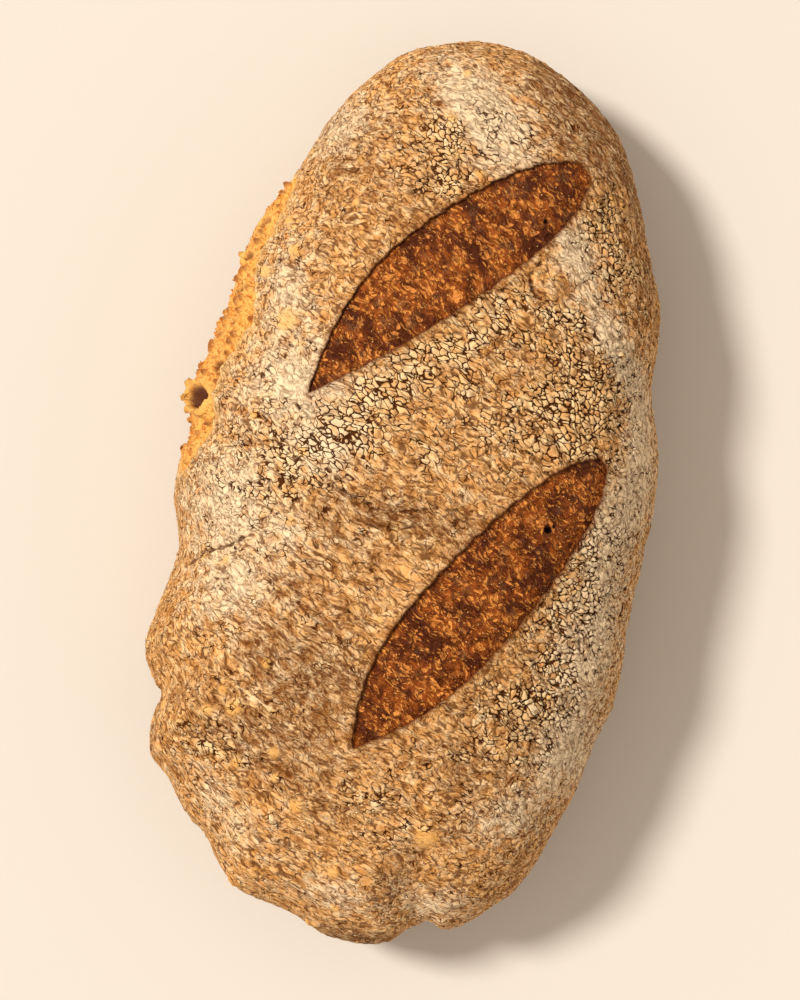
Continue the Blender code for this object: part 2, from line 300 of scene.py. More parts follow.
# Floured patches; those on the +X side, which faces away from the light, are also painted fill light that
# brightens the shaded side.
FLOUR_AND_FILL_LIGHT_PATCHES = (
    (2.0, 122.0, 24.0, 10.0, -42.0, 1.0),
    (37.0, 84.0, 13.0, 6.0, -50.0, 0.75),
    (56.0, 56.0, 20.0, 6.0, -50.0, 0.8),
    (70.0, 26.0, 18.0, 5.0, -78.0, 0.75),
    (-44.0, 112.0, 14.0, 9.0, 45.0, 0.5),
    (-50.0, 50.0, 12.0, 10.0, 80.0, 0.45),
    (-42.0, 28.0, 20.0, 12.0, 20.0, 0.75),
    (-30.0, 8.0, 13.0, 10.0, 0.0, 0.65),
    (-58.0, -12.0, 17.0, 15.0, 90.0, 0.7),
    (-36.0, -22.0, 9.0, 7.0, 0.0, 0.4),
    (-42.0, -112.0, 17.0, 8.0, -40.0, 0.4),
    (0.0, -132.0, 14.0, 6.0, 0.0, 0.45),
    (32.0, -131.0, 11.0, 7.0, 10.0, 0.5),
    (48.0, -97.0, 14.0, 8.0, 30.0, 0.5),
    (-52.0, -40.0, 14.0, 13.0, 0.0, 0.55),
    (-54.0, 66.0, 14.0, 9.0, 80.0, 0.3),
    (65.0, 0.0, 20.0, 10.0, 90.0, 0.75),
    (64.0, -40.0, 22.0, 11.0, 88.0, 0.7),
    (63.0, -74.0, 15.0, 10.0, 75.0, 0.75),
)
# Browned patches of the crust; several also carry painted shade where the dome and its bulges turn from
# the light.
TOAST_AND_SHADE_PATCHES = (
    (-22.0, 88.0, 16.0, 12.0, 0.0, 0.25),
    (-44.0, 108.0, 16.0, 10.0, 60.0, 0.25),
    (26.0, 137.0, 22.0, 9.0, -28.0, 0.6),
    (33.0, 122.0, 14.0, 9.0, -40.0, 0.5),
    (50.0, 116.0, 16.0, 8.0, -60.0, 0.5),
    (66.0, 82.0, 18.0, 7.0, -75.0, 0.4),
    (-6.0, -8.0, 22.0, 6.0, 0.0, 0.4),
    (-20.0, -19.0, 10.0, 8.0, 0.0, 0.35),
    (9.0, -13.0, 12.0, 8.0, 0.0, 0.2),
    (-32.0, -36.0, 12.0, 8.0, 0.0, 0.3),
    (-24.0, -64.0, 20.0, 11.0, -10.0, 0.9),
    (-23.0, -87.0, 16.0, 12.0, -20.0, 0.6),
    (-50.0, -80.0, 13.0, 9.0, -40.0, 0.5),
    (-15.0, -46.0, 14.0, 12.0, 0.0, 0.3),
    (35.0, -86.0, 13.0, 8.0, 0.0, 0.4),
    (56.0, -62.0, 10.0, 12.0, 80.0, 0.25),
    (24.0, 46.0, 14.0, 10.0, 40.0, 0.15),
    (-30.0, 49.0, 9.0, 5.0, 60.0, 0.35),
    (4.0, -148.0, 26.0, 4.0, 0.0, 0.8),
    (17.0, -128.0, 5.0, 14.0, -20.0, 0.4),
    (-72.0, -96.0, 14.0, 7.0, 60.0, 0.35),
)
# Golden patches; those along the +X edge are a painted highlight, a golden rim of light on that edge.
GOLD_AND_RIM_LIGHT_PATCHES = (
    (-68.0, 82.0, 20.0, 9.0, 70.0, 0.7),
    (-76.0, 0.0, 26.0, 8.0, 90.0, 0.8),
    (-76.0, -45.0, 26.0, 8.0, 90.0, 0.7),
    (-66.0, -100.0, 20.0, 9.0, 60.0, 0.45),
    (36.0, -130.0, 16.0, 8.0, 20.0, 0.5),
    (-36.0, -126.0, 24.0, 9.0, -35.0, 0.5),
    (74.0, 70.0, 20.0, 6.0, -80.0, 0.5),
    (77.0, -20.0, 50.0, 5.0, 90.0, 0.4),
)
CRACKLE_BASE = 0.2
FLOUR_BASE = 0.28
TOAST_BASE = 0.22
# Painted shade: the crust is darkened in the creases of the folds.
FOLD_SHADE = 0.15

# angles at the base and at the top, climb of the top, half width, depth
FOLDS = (
    (230.6, 228.7, 0.30, 3.4, 4.5),
    (280.3, 283.0, 0.32, 3.4, 4.5),
)

# place in plan, radius
BLISTERS = (
    (-44.0, -77.8, 2.6),
    (-52.0, -79.9, 1.9),
    (-28.5, -89.1, 1.8),
    (-18.9, -105.1, 2.2),
    (-3.6, -124.8, 1.9),
    (23.6, -107.5, 3.6),
    (-50.5, 68.9, 2.2),
    (-59.2, 61.1, 2.0),
    (-49.4, 46.2, 3.4),
    (-36.0, -62.0, 1.6),
    (-40.0, -95.0, 1.6),
)

# depth, then places in plan that the seam runs through
SEAMS = (
    (0.7, (-55.5, 5.0), (-52.0, 7.0), (-49.0, 9.0)),
    (0.6, (-53.0, -8.0), (-48.0, -8.5), (-45.5, -7.0)),
    (1.0, (-68.0, -36.0), (-62.0, -31.0), (-55.0, -27.0), (-49.0, -23.0)),
    (0.8, (-30.0, -2.5), (-20.0, -4.0), (-12.0, -7.5), (-3.0, -7.0), (8.0, -4.0), (16.0, -3.0)),
    (0.7, (-22.0, -11.0), (-10.0, -13.0), (4.0, -10.5)),
    (0.9, (27.0, 79.0), (24.0, 74.0), (25.5, 69.0), (30.0, 66.0)),
    (0.7, (62.0, -28.0), (60.0, -34.0), (61.5, -41.0)),
    (0.7, (30.0, 30.0), (36.0, 26.0), (42.0, 23.0), (47.0, 18.0)),
)


def patch_sum(x, y, patches, base):
    """A soft field over the plan: a base amount with named patches on it."""
    total = np.full_like(x, base)
    for at_x, at_y, half_length, half_width, bearing, amount in patches:
        along = (x - at_x) * math.cos(math.radians(bearing)) + (y - at_y) * math.sin(math.radians(bearing))
        aside = (y - at_y) * math.cos(math.radians(bearing)) - (x - at_x) * math.sin(math.radians(bearing))
        total += amount * np.exp(-((along / half_length) ** 2) - (aside / half_width) ** 2)
    return total


def box_sheet():
    """Box corners from -1 to 1 of an open box of quads, its faces, and which part each face is in."""
    columns, rows = CROWN_COLUMNS + 1, CROWN_ROWS + 1
    number = np.arange(rows * columns).reshape(rows, columns)
    v, u = np.meshgrid(np.linspace(-1, 1, rows), np.linspace(-1, 1, columns), indexing="ij")
    top = np.stack([u.ravel(), v.ravel(), np.ones(u.size)], axis=1)
    rim = np.concatenate([number[0, :-1], number[:-1, -1], number[-1, :0:-1], number[:0:-1, 0]])
    drops = np.concatenate([
        1.0 - np.arange(1, FLANK_RINGS + 1) / FLANK_RINGS,
        -np.arange(1, SKIRT_RINGS + 1) / SKIRT_RINGS,
    ])
    rings = [np.column_stack([top[rim, :2], np.full(len(rim), drop)]) for drop in drops]
    corners = np.concatenate([top] + rings)
    loops = [rim] + [rows * columns + k * len(rim) + np.arange(len(rim)) for k in range(len(drops))]
    faces = [grid_faces(number)]
    part = [np.zeros(len(faces[0]), int)]
    for ring, (over, under) in enumerate(zip(loops, loops[1:])):
        faces.append(np.stack([over, under, np.roll(under, -1), np.roll(over, -1)], axis=1))
        part.append(np.full(len(over), 1 if ring < FLANK_RINGS else 2))
    return corners, np.concatenate(faces), np.concatenate(part)


def grid_faces(number):
    """Quads between the corners of a numbered grid."""
    corners = [number[:-1, :-1], number[:-1, 1:], number[1:, 1:], number[1:, :-1]]
    return np.stack(corners, axis=-1).reshape(-1, 4)


def on_dome(corners):
    """Angle and climb of box corners, spread evenly."""
    u, v, w = np.tan(0.25 * math.pi * corners).T
    angle = np.arctan2(v * HALF_LENGTH, u * HALF_WIDTH)
    over = np.arctan2(np.maximum(w, 0.0), np.hypot(u, v)) / (0.5 * math.pi)
    return angle, np.where(corners[:, 2] < 0.0, corners[:, 2], over)


def fill_mesh(name, points, faces, fields):
    """A mesh from points in millimetres, with its fields stored as named attributes."""
    mesh = bpy.data.meshes.new(name)
    mesh.vertices.add(len(points))
    mesh.vertices.foreach_set("co", (points * MM).astype(np.float32).ravel())
    mesh.loops.add(faces.size)
    mesh.loops.foreach_set("vertex_index", faces.astype(np.int32).ravel())
    mesh.polygons.add(len(faces))
    sides = faces.shape[1]
    mesh.polygons.foreach_set("loop_start", np.arange(0, faces.size, sides, dtype=np.int32))
    mesh.update(calc_edges=True)
    for label, values in fields.items():
        if values.ndim == 2:
            kept = mesh.attributes.new(label, "FLOAT_VECTOR", "POINT")
            kept.data.foreach_set("vector", values.astype(np.float32).ravel())
        else:
            kept = mesh.attributes.new(label, "FLOAT", "POINT")
            kept.data.foreach_set("value", values.astype(np.float32))
    mesh.shade_smooth()
    return mesh


def fold_depth(angle, climb):
    """How deep the creases draw the crust in."""
    total = np.zeros_like(angle)
    for low_angle, high_angle, top, half_width, depth in FOLDS:
        share = (climb + 1.0) / (top + 1.0)
        line = np.radians(low_angle + (high_angle - low_angle) * share)
        away = ((angle - line + math.pi) % math.tau - math.pi) * plain_radius(line)
        ends = smooth_step(share / 0.2) * smooth_step((1.0 - share) / 0.35)
        total += depth * ends * np.exp(-2.0 * (away / half_width) ** 2)
    return total


def blister_field(x, y):
    """Smooth caps of the larger blisters."""
    total = np.zeros_like(x)
    for at_x, at_y, radius in BLISTERS:
        total = np.maximum(total, smooth_step(1.6 - 1.1 * np.hypot(x - at_x, y - at_y) / radius))
    return total


def seam_field(x, y):
    """Long seams where the crust parted, deepest in their middle."""
    total = np.zeros_like(x)
    sway = 0.5 * np.sin(1.7 * x + 0.6 * y) + 0.4 * np.sin(2.3 * y - 0.9 * x)
    for depth, *places in SEAMS:
        for start, end in zip(places, places[1:]):
            run = np.subtract(end, start)
            share = np.clip(((x - start[0]) * run[0] + (y - start[1]) * run[1]) / (run @ run), 0.0, 1.0)
            away = np.hypot(x - start[0] - share * run[0], y - start[1] - share * run[1]) + sway * 0.5
            total = np.maximum(total, depth * np.exp(-((away / 0.55) ** 2)))
    return total


def near_edge(places, loop, allowed):
    """Corners near a closed edge, their distance outside it, those to move on to it, and where to."""
    low, high = loop.min(axis=0) - NEAR_OPENING, loop.max(axis=0) + NEAR_OPENING
    near = np.flatnonzero(((places > low) & (places < high)).all(axis=1) & allowed)
    beyond, edge = beyond_loop(places[near], loop)
    snap = np.abs(beyond) < SNAP_REACH
    return near, beyond, snap, edge[snap]


def open_crust():
    """Points, faces, face parts and fields of the crust, opened along the slashes and the tear."""
    corners, faces, part = box_sheet()
    angle, climb = on_dome(corners)
    points = skin(angle, climb)
    outside, torn = np.full(len(points), NEAR_OPENING), np.full(len(points), NEAR_OPENING)
    lip = np.zeros(len(points))
    for slash in SLASHES.values():
        near, beyond, snap, edge = near_edge(points[:, :2], slash_loop(slash), climb > 0.1)
        lip[near] += LIP_HEIGHT * np.exp(-((beyond / LIP_REACH) ** 2))
        angle[near[snap]], climb[near[snap]] = climb_over(*edge.T)
        outside[near] = np.minimum(outside[near], np.where(snap, 0.0, beyond))
    side = np.stack([points[:, 1], level_at(climb)[1]], axis=1)
    near, beyond, snap, edge = near_edge(side, tear_loop(), points[:, 0] < 0.0)
    angle[near[snap]], climb[near[snap]] = climb_beside(*edge.T)
    torn[near] = np.where(snap, 0.0, beyond)
    outside = np.minimum(outside, torn)
    inwards = np.stack([-np.cos(angle), -np.sin(angle), np.zeros_like(angle)], axis=1)
    folded = fold_depth(angle, climb)
    rest = skin(angle, climb) + folded[:, None] * inwards
    rest[:, 2] += lip
    gone = outside < 0.0
    drop = np.where((torn < 0.0)[:, None], inwards, np.array([0.0, 0.0, -1.0]))
    points = rest + OPENING_DROP * drop * gone[:, None]
    kept = ~gone[faces].all(axis=1)
    x, y = rest[:, 0], rest[:, 1]
    raised = climb > 0.05
    # Browned patches, with painted shade on parts of the dome and in the creases of the folds.
    toast_and_shade = patch_sum(x, y, TOAST_AND_SHADE_PATCHES, TOAST_BASE) + FOLD_SHADE * folded
    fields = {
        "rest_mm": rest,
        "crackle": np.clip(patch_sum(x, y, CRACKLE_PATCHES, CRACKLE_BASE), 0.0, 1.0),
        "flour": np.clip(patch_sum(x, y, FLOUR_AND_FILL_LIGHT_PATCHES, FLOUR_BASE), 0.0, 1.0),
        "toast_and_shade": np.clip(toast_and_shade, 0.0, 1.0),
        "gold_and_rim_light": np.clip(patch_sum(x, y, GOLD_AND_RIM_LIGHT_PATCHES, 0.0), 0.0, 1.0),
        "large_blister": np.where(raised, blister_field(x, y), 0.0),
        "seam": np.where(raised, seam_field(x, y), 0.0),
        "rim": np.where(torn > outside, np.exp(-np.maximum(outside, 0.0) / RIM_REACH), 0.0),
        "torn_rim": np.exp(-np.maximum(torn, 0.0) / TORN_RIM_REACH),
        "calm": smooth_step(outside / CALM_REACH) * smooth_step(points[:, 2] / 4.0),
        "under": smooth_step(1.0 - points[:, 2] / WIDEST_HEIGHT),
    }
    return points, faces[kept], part[kept], fields


def put(tree, kind, inputs=(), **settings):
    """Add a node, choose its settings, and feed its inputs with sockets or plain values."""
    made = tree.nodes.new(kind)
    for label, value in settings.items():
        setattr(made, label, value)
    for key, value in dict(inputs).items():
        if isinstance(value, bpy.types.NodeSocket):
            tree.links.new(value, made.inputs[key])
        else:
            made.inputs[key].default_value = value
    return made


def calc(tree, operation, *values):
    """A Math node's result."""
    return put(tree, "ShaderNodeMath", enumerate(values), operation=operation).outputs[0]


def times(tree, value, *factors):
    """A value times each factor in turn."""
    for factor in factors:
        value = calc(tree, "MULTIPLY", value, factor)
    return value


def vector_calc(tree, operation, *values):
    """A Vector Math node's result, with the factor last where it scales."""
    keys = (0, "Scale") if operation == "SCALE" else range(len(values))
    made = put(tree, "ShaderNodeVectorMath", zip(keys, values), operation=operation)
    return made.outputs["Value" if operation == "DOT_PRODUCT" else "Vector"]


def ramp(tree, value, low, high, start=0.0, end=1.0):
    """A soft step from start at low to end at high."""
    inputs = {"Value": value, "From Min": low, "From Max": high, "To Min": start, "To Max": end}
    return put(tree, "ShaderNodeMapRange", inputs, interpolation_type="SMOOTHSTEP").outputs["Result"]


def scale_for(tree, size):
    """The scale of a texture with features of a size in millimetres, which may be a socket."""
    return calc(tree, "DIVIDE", 1.0, size) if isinstance(size, bpy.types.NodeSocket) else 1.0 / size


def noise(tree, place, size, detail=2.0, roughness=0.5, distortion=0.0, output="Fac"):
    """Noise with features of a size."""
    inputs = {"Vector": place, "Scale": scale_for(tree, size), "Detail": detail,
              "Roughness": roughness, "Distortion": distortion}
    return put(tree, "ShaderNodeTexNoise", inputs, noise_dimensions="3D").outputs[output]


def centred(tree, *settings):
    """Noise that varies about 0."""
    return calc(tree, "SUBTRACT", noise(tree, *settings), 0.5)


def drift(tree, place, size, detail=2.0):
    """A vector that varies about 0."""
    way = noise(tree, place, size, detail, output="Color")
    return vector_calc(tree, "SUBTRACT", way, (0.5, 0.5, 0.5))


def pushed(tree, place, push, reach):
    """Places pushed along a vector."""
    return vector_calc(tree, "ADD", place, vector_calc(tree, "SCALE", push, reach))


def cells(tree, place, size, feature="F1", **inputs):
    """Cells of a size."""
    inputs.update(Vector=place, Scale=scale_for(tree, size))
    return put(tree, "ShaderNodeTexVoronoi", inputs, feature=feature).outputs


def parts_of(tree, vector):
    """The three parts of a vector or a colour."""
    return put(tree, "ShaderNodeSeparateXYZ", {0: vector}).outputs


def leaning(tree, place, plates):
    """A slope for each cell, and a tone for each about 0."""
    tint = vector_calc(tree, "SUBTRACT", plates["Color"], (0.5, 0.5, 0.5))
    away = vector_calc(tree, "SUBTRACT", place, plates["Position"])
    return vector_calc(tree, "DOT_PRODUCT", away, tint), parts_of(tree, tint)[0]


def stacked(tree, start, *layers):
    """A value with fields laid on it, each times its amount."""
    for field, amount in layers:
        start = calc(tree, "MULTIPLY_ADD", field, amount, start)
    return start


# sockets that don't hold a plain number
SOCKET_KINDS = {"Geometry": "Geometry", "Material": "Material", "Place": "Vector", "Rest": "Vector",
                "Seed": "Int"}


def new_group(name, kind, inputs, outputs):
    """An empty node group with named inputs and outputs, and the nodes at its two ends."""
    group = bpy.data.node_groups.new(name, kind)
    for way, labels in (("INPUT", inputs), ("OUTPUT", outputs)):
        for label in labels:
            socket = "NodeSocket" + SOCKET_KINDS.get(label, "Float")
            made = group.interface.new_socket(label, in_out=way, socket_type=socket)
            if way == "INPUT" and inputs[label] is not None:
                made.default_value = inputs[label]
    return group, group.nodes.new("NodeGroupInput").outputs, group.nodes.new("NodeGroupOutput").inputs


# The same crackle shapes the crust and colours it, so it is built once for either kind of tree.
CRACKLE_INPUTS = {"Plate Size": 1.75, "Crack Width": 0.165, "Fine Plate Size": 1.25, "Furrow Size": 1.0}
CRACKLE_OUTPUTS = ("Crack", "Line", "Tone", "Furrow", "Whole", "Height", "Fine Height")
STRETCH_BEARING = math.radians(-25.0)


def add_plates(tree, place, size, width, opened):
    """One size of plates: cracks that widen where they meet, a dome, a tone and a slope for each."""
    plates = cells(tree, place, size)
    from_edge = cells(tree, place, size, "DISTANCE_TO_EDGE")["Distance"]
    from_edge = times(tree, from_edge, size)
    girth = ramp(tree, plates["Distance"], 0.3, 0.75, 0.55, 1.3)
    width = times(tree, width, girth, opened)
    inner, outer = times(tree, width, 0.3), calc(tree, "ADD", width, 0.02)
    crack = times(tree, ramp(tree, from_edge, inner, outer, 1.0, 0.0), opened)
    line = ramp(tree, from_edge, 0.03, 0.2, 1.0, 0.0)
    dome = ramp(tree, from_edge, 0.0, times(tree, size, 0.34))
    lean, tone = leaning(tree, place, plates)
    return crack, line, dome, tone, lean


def build_crackle(name, kind):
    """Plates with cracks between them and fine winding furrows, over places in millimetres."""
    inputs = {"Place": None, "Crackle": 0.5, "Patchy": 0.0, "Broken": 0.0, "Blister": 0.0}
    tree, given, result = new_group(name, kind, {**inputs, **CRACKLE_INPUTS}, CRACKLE_OUTPUTS)
    place, broken = given["Place"], given["Broken"]
    spread = stacked(tree, given["Crackle"], (given["Patchy"], 1.5))
    opened = ramp(tree, stacked(tree, spread, (broken, 1.6)), 0.38, 0.74)
    whole = ramp(tree, spread, 0.3, 0.85, 1.0, 0.25)
    bend = drift(tree, place, 1.5, 0.0)
    jagged = pushed(tree, place, bend, 1.5)
    plates = add_plates(tree, jagged, given["Plate Size"], given["Crack Width"], opened)
    crack, line, dome, tone, lean = plates
    seen = ramp(tree, stacked(tree, spread, (broken, 1.9)), 0.2, 0.5)
    line = times(tree, line, seen)
    tone = times(tree, tone, opened)

    bent = vector_calc(tree, "MULTIPLY", pushed(tree, place, bend, 1.3), (0.7, 1.15, 1.0))
    grains = cells(tree, bent, given["Fine Plate Size"])
    fine_lean, _ = leaning(tree, bent, grains)
    fine_dome = ramp(tree, grains["Distance"], 0.75, 0.1)
    fine_line = ramp(tree, grains["Distance"], 0.46, 0.74)
    winding = noise(tree, bent, given["Furrow Size"], 0.0)
    winding = calc(tree, "ABSOLUTE", calc(tree, "MULTIPLY_ADD", winding, 2.0, -1.0))
    wound = ramp(tree, winding, 0.04, 0.3, 0.7, 0.0)
    furrow = times(tree, fine_line, ramp(tree, broken, 0.16, -0.06))
    wound = times(tree, wound, ramp(tree, broken, -0.1, 0.1))
    smooth = calc(tree, "SUBTRACT", 1.0, given["Blister"])
    furrow = times(tree, calc(tree, "MAXIMUM", furrow, wound), whole, smooth)

    domed, leaned = times(tree, opened, 0.34), calc(tree, "MULTIPLY_ADD", opened, 0.5, 0.1)
    height = stacked(tree, 0.0, (crack, -0.55), (dome, domed), (tone, 0.35), (lean, leaned))
    fine_height = stacked(tree, 0.0, (fine_lean, 0.35), (fine_dome, 0.2))
    fine_height = times(tree, fine_height, whole)
    fine_height = stacked(tree, fine_height, (furrow, -0.18), (crack, -0.35), (line, -0.16))
    join(tree, zip(CRACKLE_OUTPUTS, (crack, line, tone, furrow, whole, height, fine_height)), result)
    return tree


def join(tree, sources, sockets):
    """Link named values to a node's sockets."""
    for label, source in sources:
        tree.links.new(source, sockets[label])


def named(tree, label, kind="FLOAT"):
    """A field stored on the mesh, as a geometry tree reads it."""
    made = put(tree, "GeometryNodeInputNamedAttribute", {"Name": label}, data_type=kind)
    return made.outputs["Attribute"]


def store(tree, geometry, label, value, kind="FLOAT"):
    """Keep a value on the mesh under a name."""
    inputs = {"Geometry": geometry, "Name": label, "Value": value}
    made = put(tree, "GeometryNodeStoreNamedAttribute", inputs, data_type=kind, domain="POINT")
    return made.outputs[0]


def raise_surface(tree, geometry, height, given):
    """Move a surface along its normal by a height in millimetres."""
    height = times(tree, height, given["Relief"], MM)
    normal = tree.nodes.new("GeometryNodeInputNormal").outputs["Normal"]
    inputs = {"Geometry": geometry, "Offset": vector_calc(tree, "SCALE", normal, height)}
    return put(tree, "GeometryNodeSetPosition", inputs).outputs[0]


# name, whether it is drawn out with the plates, size, detail, roughness
CRUST_NOISES = (
    ("patchy", False, 6.0, 2.0, 0.5),
    ("broken", True, 1.7, 1.0, 0.5),
    ("lump", True, 2.8, 1.0, 0.5),
    ("broad", False, 16.0, 3.0, 0.6),
    ("middling", False, 3.6, 3.0, 0.65),
)
SWELL_SIZE = 11.0
BLISTER_SPACING = 8.0
# size and reach
CRACKLE_WANDERS = ((9.0, 5.0), (2.6, 1.5))


def build_crust_relief():
    """The tree that raises the crackle on the crust's sheet, and keeps what its paint needs."""
    inputs = {"Geometry": None, **CRACKLE_INPUTS, "Stretch": 1.6, "Relief": 1.0, "Material": None}
    tree, given, result = new_group("crust_relief", "GeometryNodeTree", inputs, ("Geometry",))
    rest, large_blister = named(tree, "rest_mm", "FLOAT_VECTOR"), named(tree, "large_blister")
    lengthwise = (math.cos(STRETCH_BEARING), math.sin(STRETCH_BEARING), 0.0)
    crosswise = (-math.sin(STRETCH_BEARING), math.cos(STRETCH_BEARING), 0.0)
    along = calc(tree, "DIVIDE", vector_calc(tree, "DOT_PRODUCT", rest, lengthwise), given["Stretch"])
    across = vector_calc(tree, "DOT_PRODUCT", rest, crosswise)
    up = parts_of(tree, rest)[2]
    place = put(tree, "ShaderNodeCombineXYZ", {"X": along, "Y": across, "Z": up}).outputs[0]
    for size, reach in CRACKLE_WANDERS:
        place = pushed(tree, place, drift(tree, place, size), reach)
    spots = cells(tree, rest, BLISTER_SPACING)
    spot = parts_of(tree, spots["Color"])
    far = times(tree, spots["Distance"], BLISTER_SPACING)
    girth = calc(tree, "MULTIPLY_ADD", spot[2], 1.6, 0.8)
    blister = ramp(tree, far, times(tree, girth, 0.5), girth, 1.0, 0.0)
    blister = times(tree, blister, ramp(tree, spot[1], 0.7, 0.74))
    made = {"blister": calc(tree, "MAXIMUM", blister, large_blister)}
    for label, drawn, *settings in CRUST_NOISES:
        made[label] = centred(tree, place if drawn else rest, *settings)
    stored = store(tree, given["Geometry"], "drawn_mm", place, "FLOAT_VECTOR")
    for label, value in made.items():
        stored = store(tree, stored, label, value)
    sources = {label: given[label] for label in CRACKLE_INPUTS}
    sources.update(Place=place, Crackle=named(tree, "crackle"), Patchy=made["patchy"],
                   Broken=made["broken"], Blister=made["blister"])
    crackle = build_crackle("crackle_shape", "GeometryNodeTree")
    pattern = put(tree, "GeometryNodeGroup", sources, node_tree=crackle)
    height = stacked(
        tree, pattern.outputs["Height"], (blister, 0.55), (centred(tree, rest, SWELL_SIZE, 2.0), 2.2),
        (made["lump"], 1.1), (large_blister, 0.9), (named(tree, "seam"), -1.0))
    height = times(tree, height, named(tree, "calm"))
    return close_tree(tree, raise_surface(tree, stored, height, given), given["Material"], result)


def close_tree(tree, geometry, material, result):
    """End a tree in Realize Instances and Set Material."""
    real = put(tree, "GeometryNodeRealizeInstances", {"Geometry": geometry})
    painted = put(tree, "GeometryNodeSetMaterial", {"Geometry": real.outputs[0], "Material": material})
    tree.links.new(painted.outputs[0], result["Geometry"])
    return tree


def add_object(name, data):
    """Put an object in the scene."""
    made = bpy.data.objects.new(name, data)
    bpy.context.scene.collection.objects.link(made)
    return made


def run_tree(mesh, tree, values):
    """Run a tree once on a mesh and give back the plain mesh that it makes."""
    carrier = add_object("carrier", mesh)
    modifier = carrier.modifiers.new("nodes", "NODES")
    modifier.node_group = tree
    for item in tree.interface.items_tree:
        if item.item_type == "SOCKET" and item.in_out == "INPUT" and item.name in values:
            modifier[item.identifier] = values[item.name]
    shaped = bpy.data.meshes.new_from_object(carrier.evaluated_get(bpy.context.evaluated_depsgraph_get()))
    carrier.modifiers.remove(modifier)
    bpy.data.objects.remove(carrier, do_unlink=True)
    return shaped


def read_values(items, label, count, width):
    """One property of many items as an array."""
    values = np.empty(count * width, np.float32)
    items.foreach_get(label, values)
    return values.reshape(-1, width) if width > 1 else values


def mesh_arrays(mesh):
    """Points in millimetres, normals and named fields of a mesh."""
    count = len(mesh.vertices)
    fields = {}
    for kept in mesh.attributes:
        if kept.domain == "POINT" and kept.name != "position":
            if kept.data_type == "FLOAT_VECTOR":
                fields[kept.name] = read_values(kept.data, "vector", count, 3)
            elif kept.data_type == "FLOAT":
                fields[kept.name] = read_values(kept.data, "value", count, 1)
    points = read_values(mesh.vertices, "co", count, 3) / MM
    return points, read_values(mesh.vertices, "normal", count, 3), fields


def add_piece(name, mesh, material):
    """Put a finished mesh in the scene as a piece of the loaf that stands for its solid."""
    mesh.name = name
    mesh.materials.clear()
    mesh.materials.append(material)
    piece = add_object(name, mesh)
    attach(piece, "root")
    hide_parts("loaf")
    return piece


def cut_piece(name, points, normals, faces, fields, material):
    """One piece of a larger sheet, keeping the sheet's own normals so that no join shows."""
    used, renumbered = np.unique(faces, return_inverse=True)
    kept = {label: values[used] for label, values in fields.items()}
    mesh = fill_mesh(name, points[used], renumbered.reshape(faces.shape), kept)
    mesh.normals_split_custom_set_from_vertices(normals[used])
    return add_piece(name, mesh, material)


def linear(*screen):
    """A colour given as it looks on screen, from 0 to 1, as the shader wants it."""
    return tuple(c / 12.92 if c <= 0.04045 else ((c + 0.055) / 1.055) ** 2.4 for c in screen) + (1.0,)


def blend_colour(tree, factor, first, second):
    """Mix two colours, each a socket or a plain colour."""
    made = put(tree, "ShaderNodeMix", data_type="RGBA")
    for key, value in (("Factor_Float", factor), ("A_Color", first), ("B_Color", second)):
        socket = next(item for item in made.inputs if item.identifier == key)
        if isinstance(value, bpy.types.NodeSocket):
            tree.links.new(value, socket)
        else:
            socket.default_value = value
    return next(item for item in made.outputs if item.identifier == "Result_Color")


def finish_surface(tree, shader, colour, layers, height, strength=1.0, distance=MM):
    """Lay colours over the first one by their masks, and raise the fine height as a bump."""
    for mask, paint in layers:
        colour = blend_colour(tree, mask, colour, paint)
    tree.links.new(colour, shader.inputs["Base Color"])
    bump = put(tree, "ShaderNodeBump", {"Height": height, "Strength": strength, "Distance": distance})
    tree.links.new(bump.outputs["Normal"], shader.inputs["Normal"])


def new_material(name, roughness, specular):
    """A material with a Principled shader, and that shader."""
    material = bpy.data.materials.new(name)
    material.use_nodes = True
    shader = material.node_tree.nodes["Principled BSDF"]
    shader.inputs["Roughness"].default_value = roughness
    shader.inputs["Specular IOR Level"].default_value = specular
    return material, material.node_tree, shader


def attribute(tree, name, output="Fac"):
    """A field stored on the mesh."""
    return put(tree, "ShaderNodeAttribute", attribute_name=name).outputs[output]


CRUST_TAN = linear(0.94, 0.665, 0.37)
CRUST_PALE = linear(1.0, 0.86, 0.63)
CRUST_BROWN = linear(0.60, 0.38, 0.19)
CRUST_DARK = linear(0.37, 0.18, 0.03)
CRUST_GOLD = linear(0.88, 0.60, 0.28)
FLOUR_WHITE = linear(0.98, 0.88, 0.73)
CRACK_BROWN_AND_SHADE = linear(0.31, 0.145, 0.03)
BLISTER_YELLOW = linear(0.95, 0.72, 0.40)
LIP_BROWN = linear(0.42, 0.22, 0.09)
LIP_CREAM = linear(0.97, 0.79, 0.52)


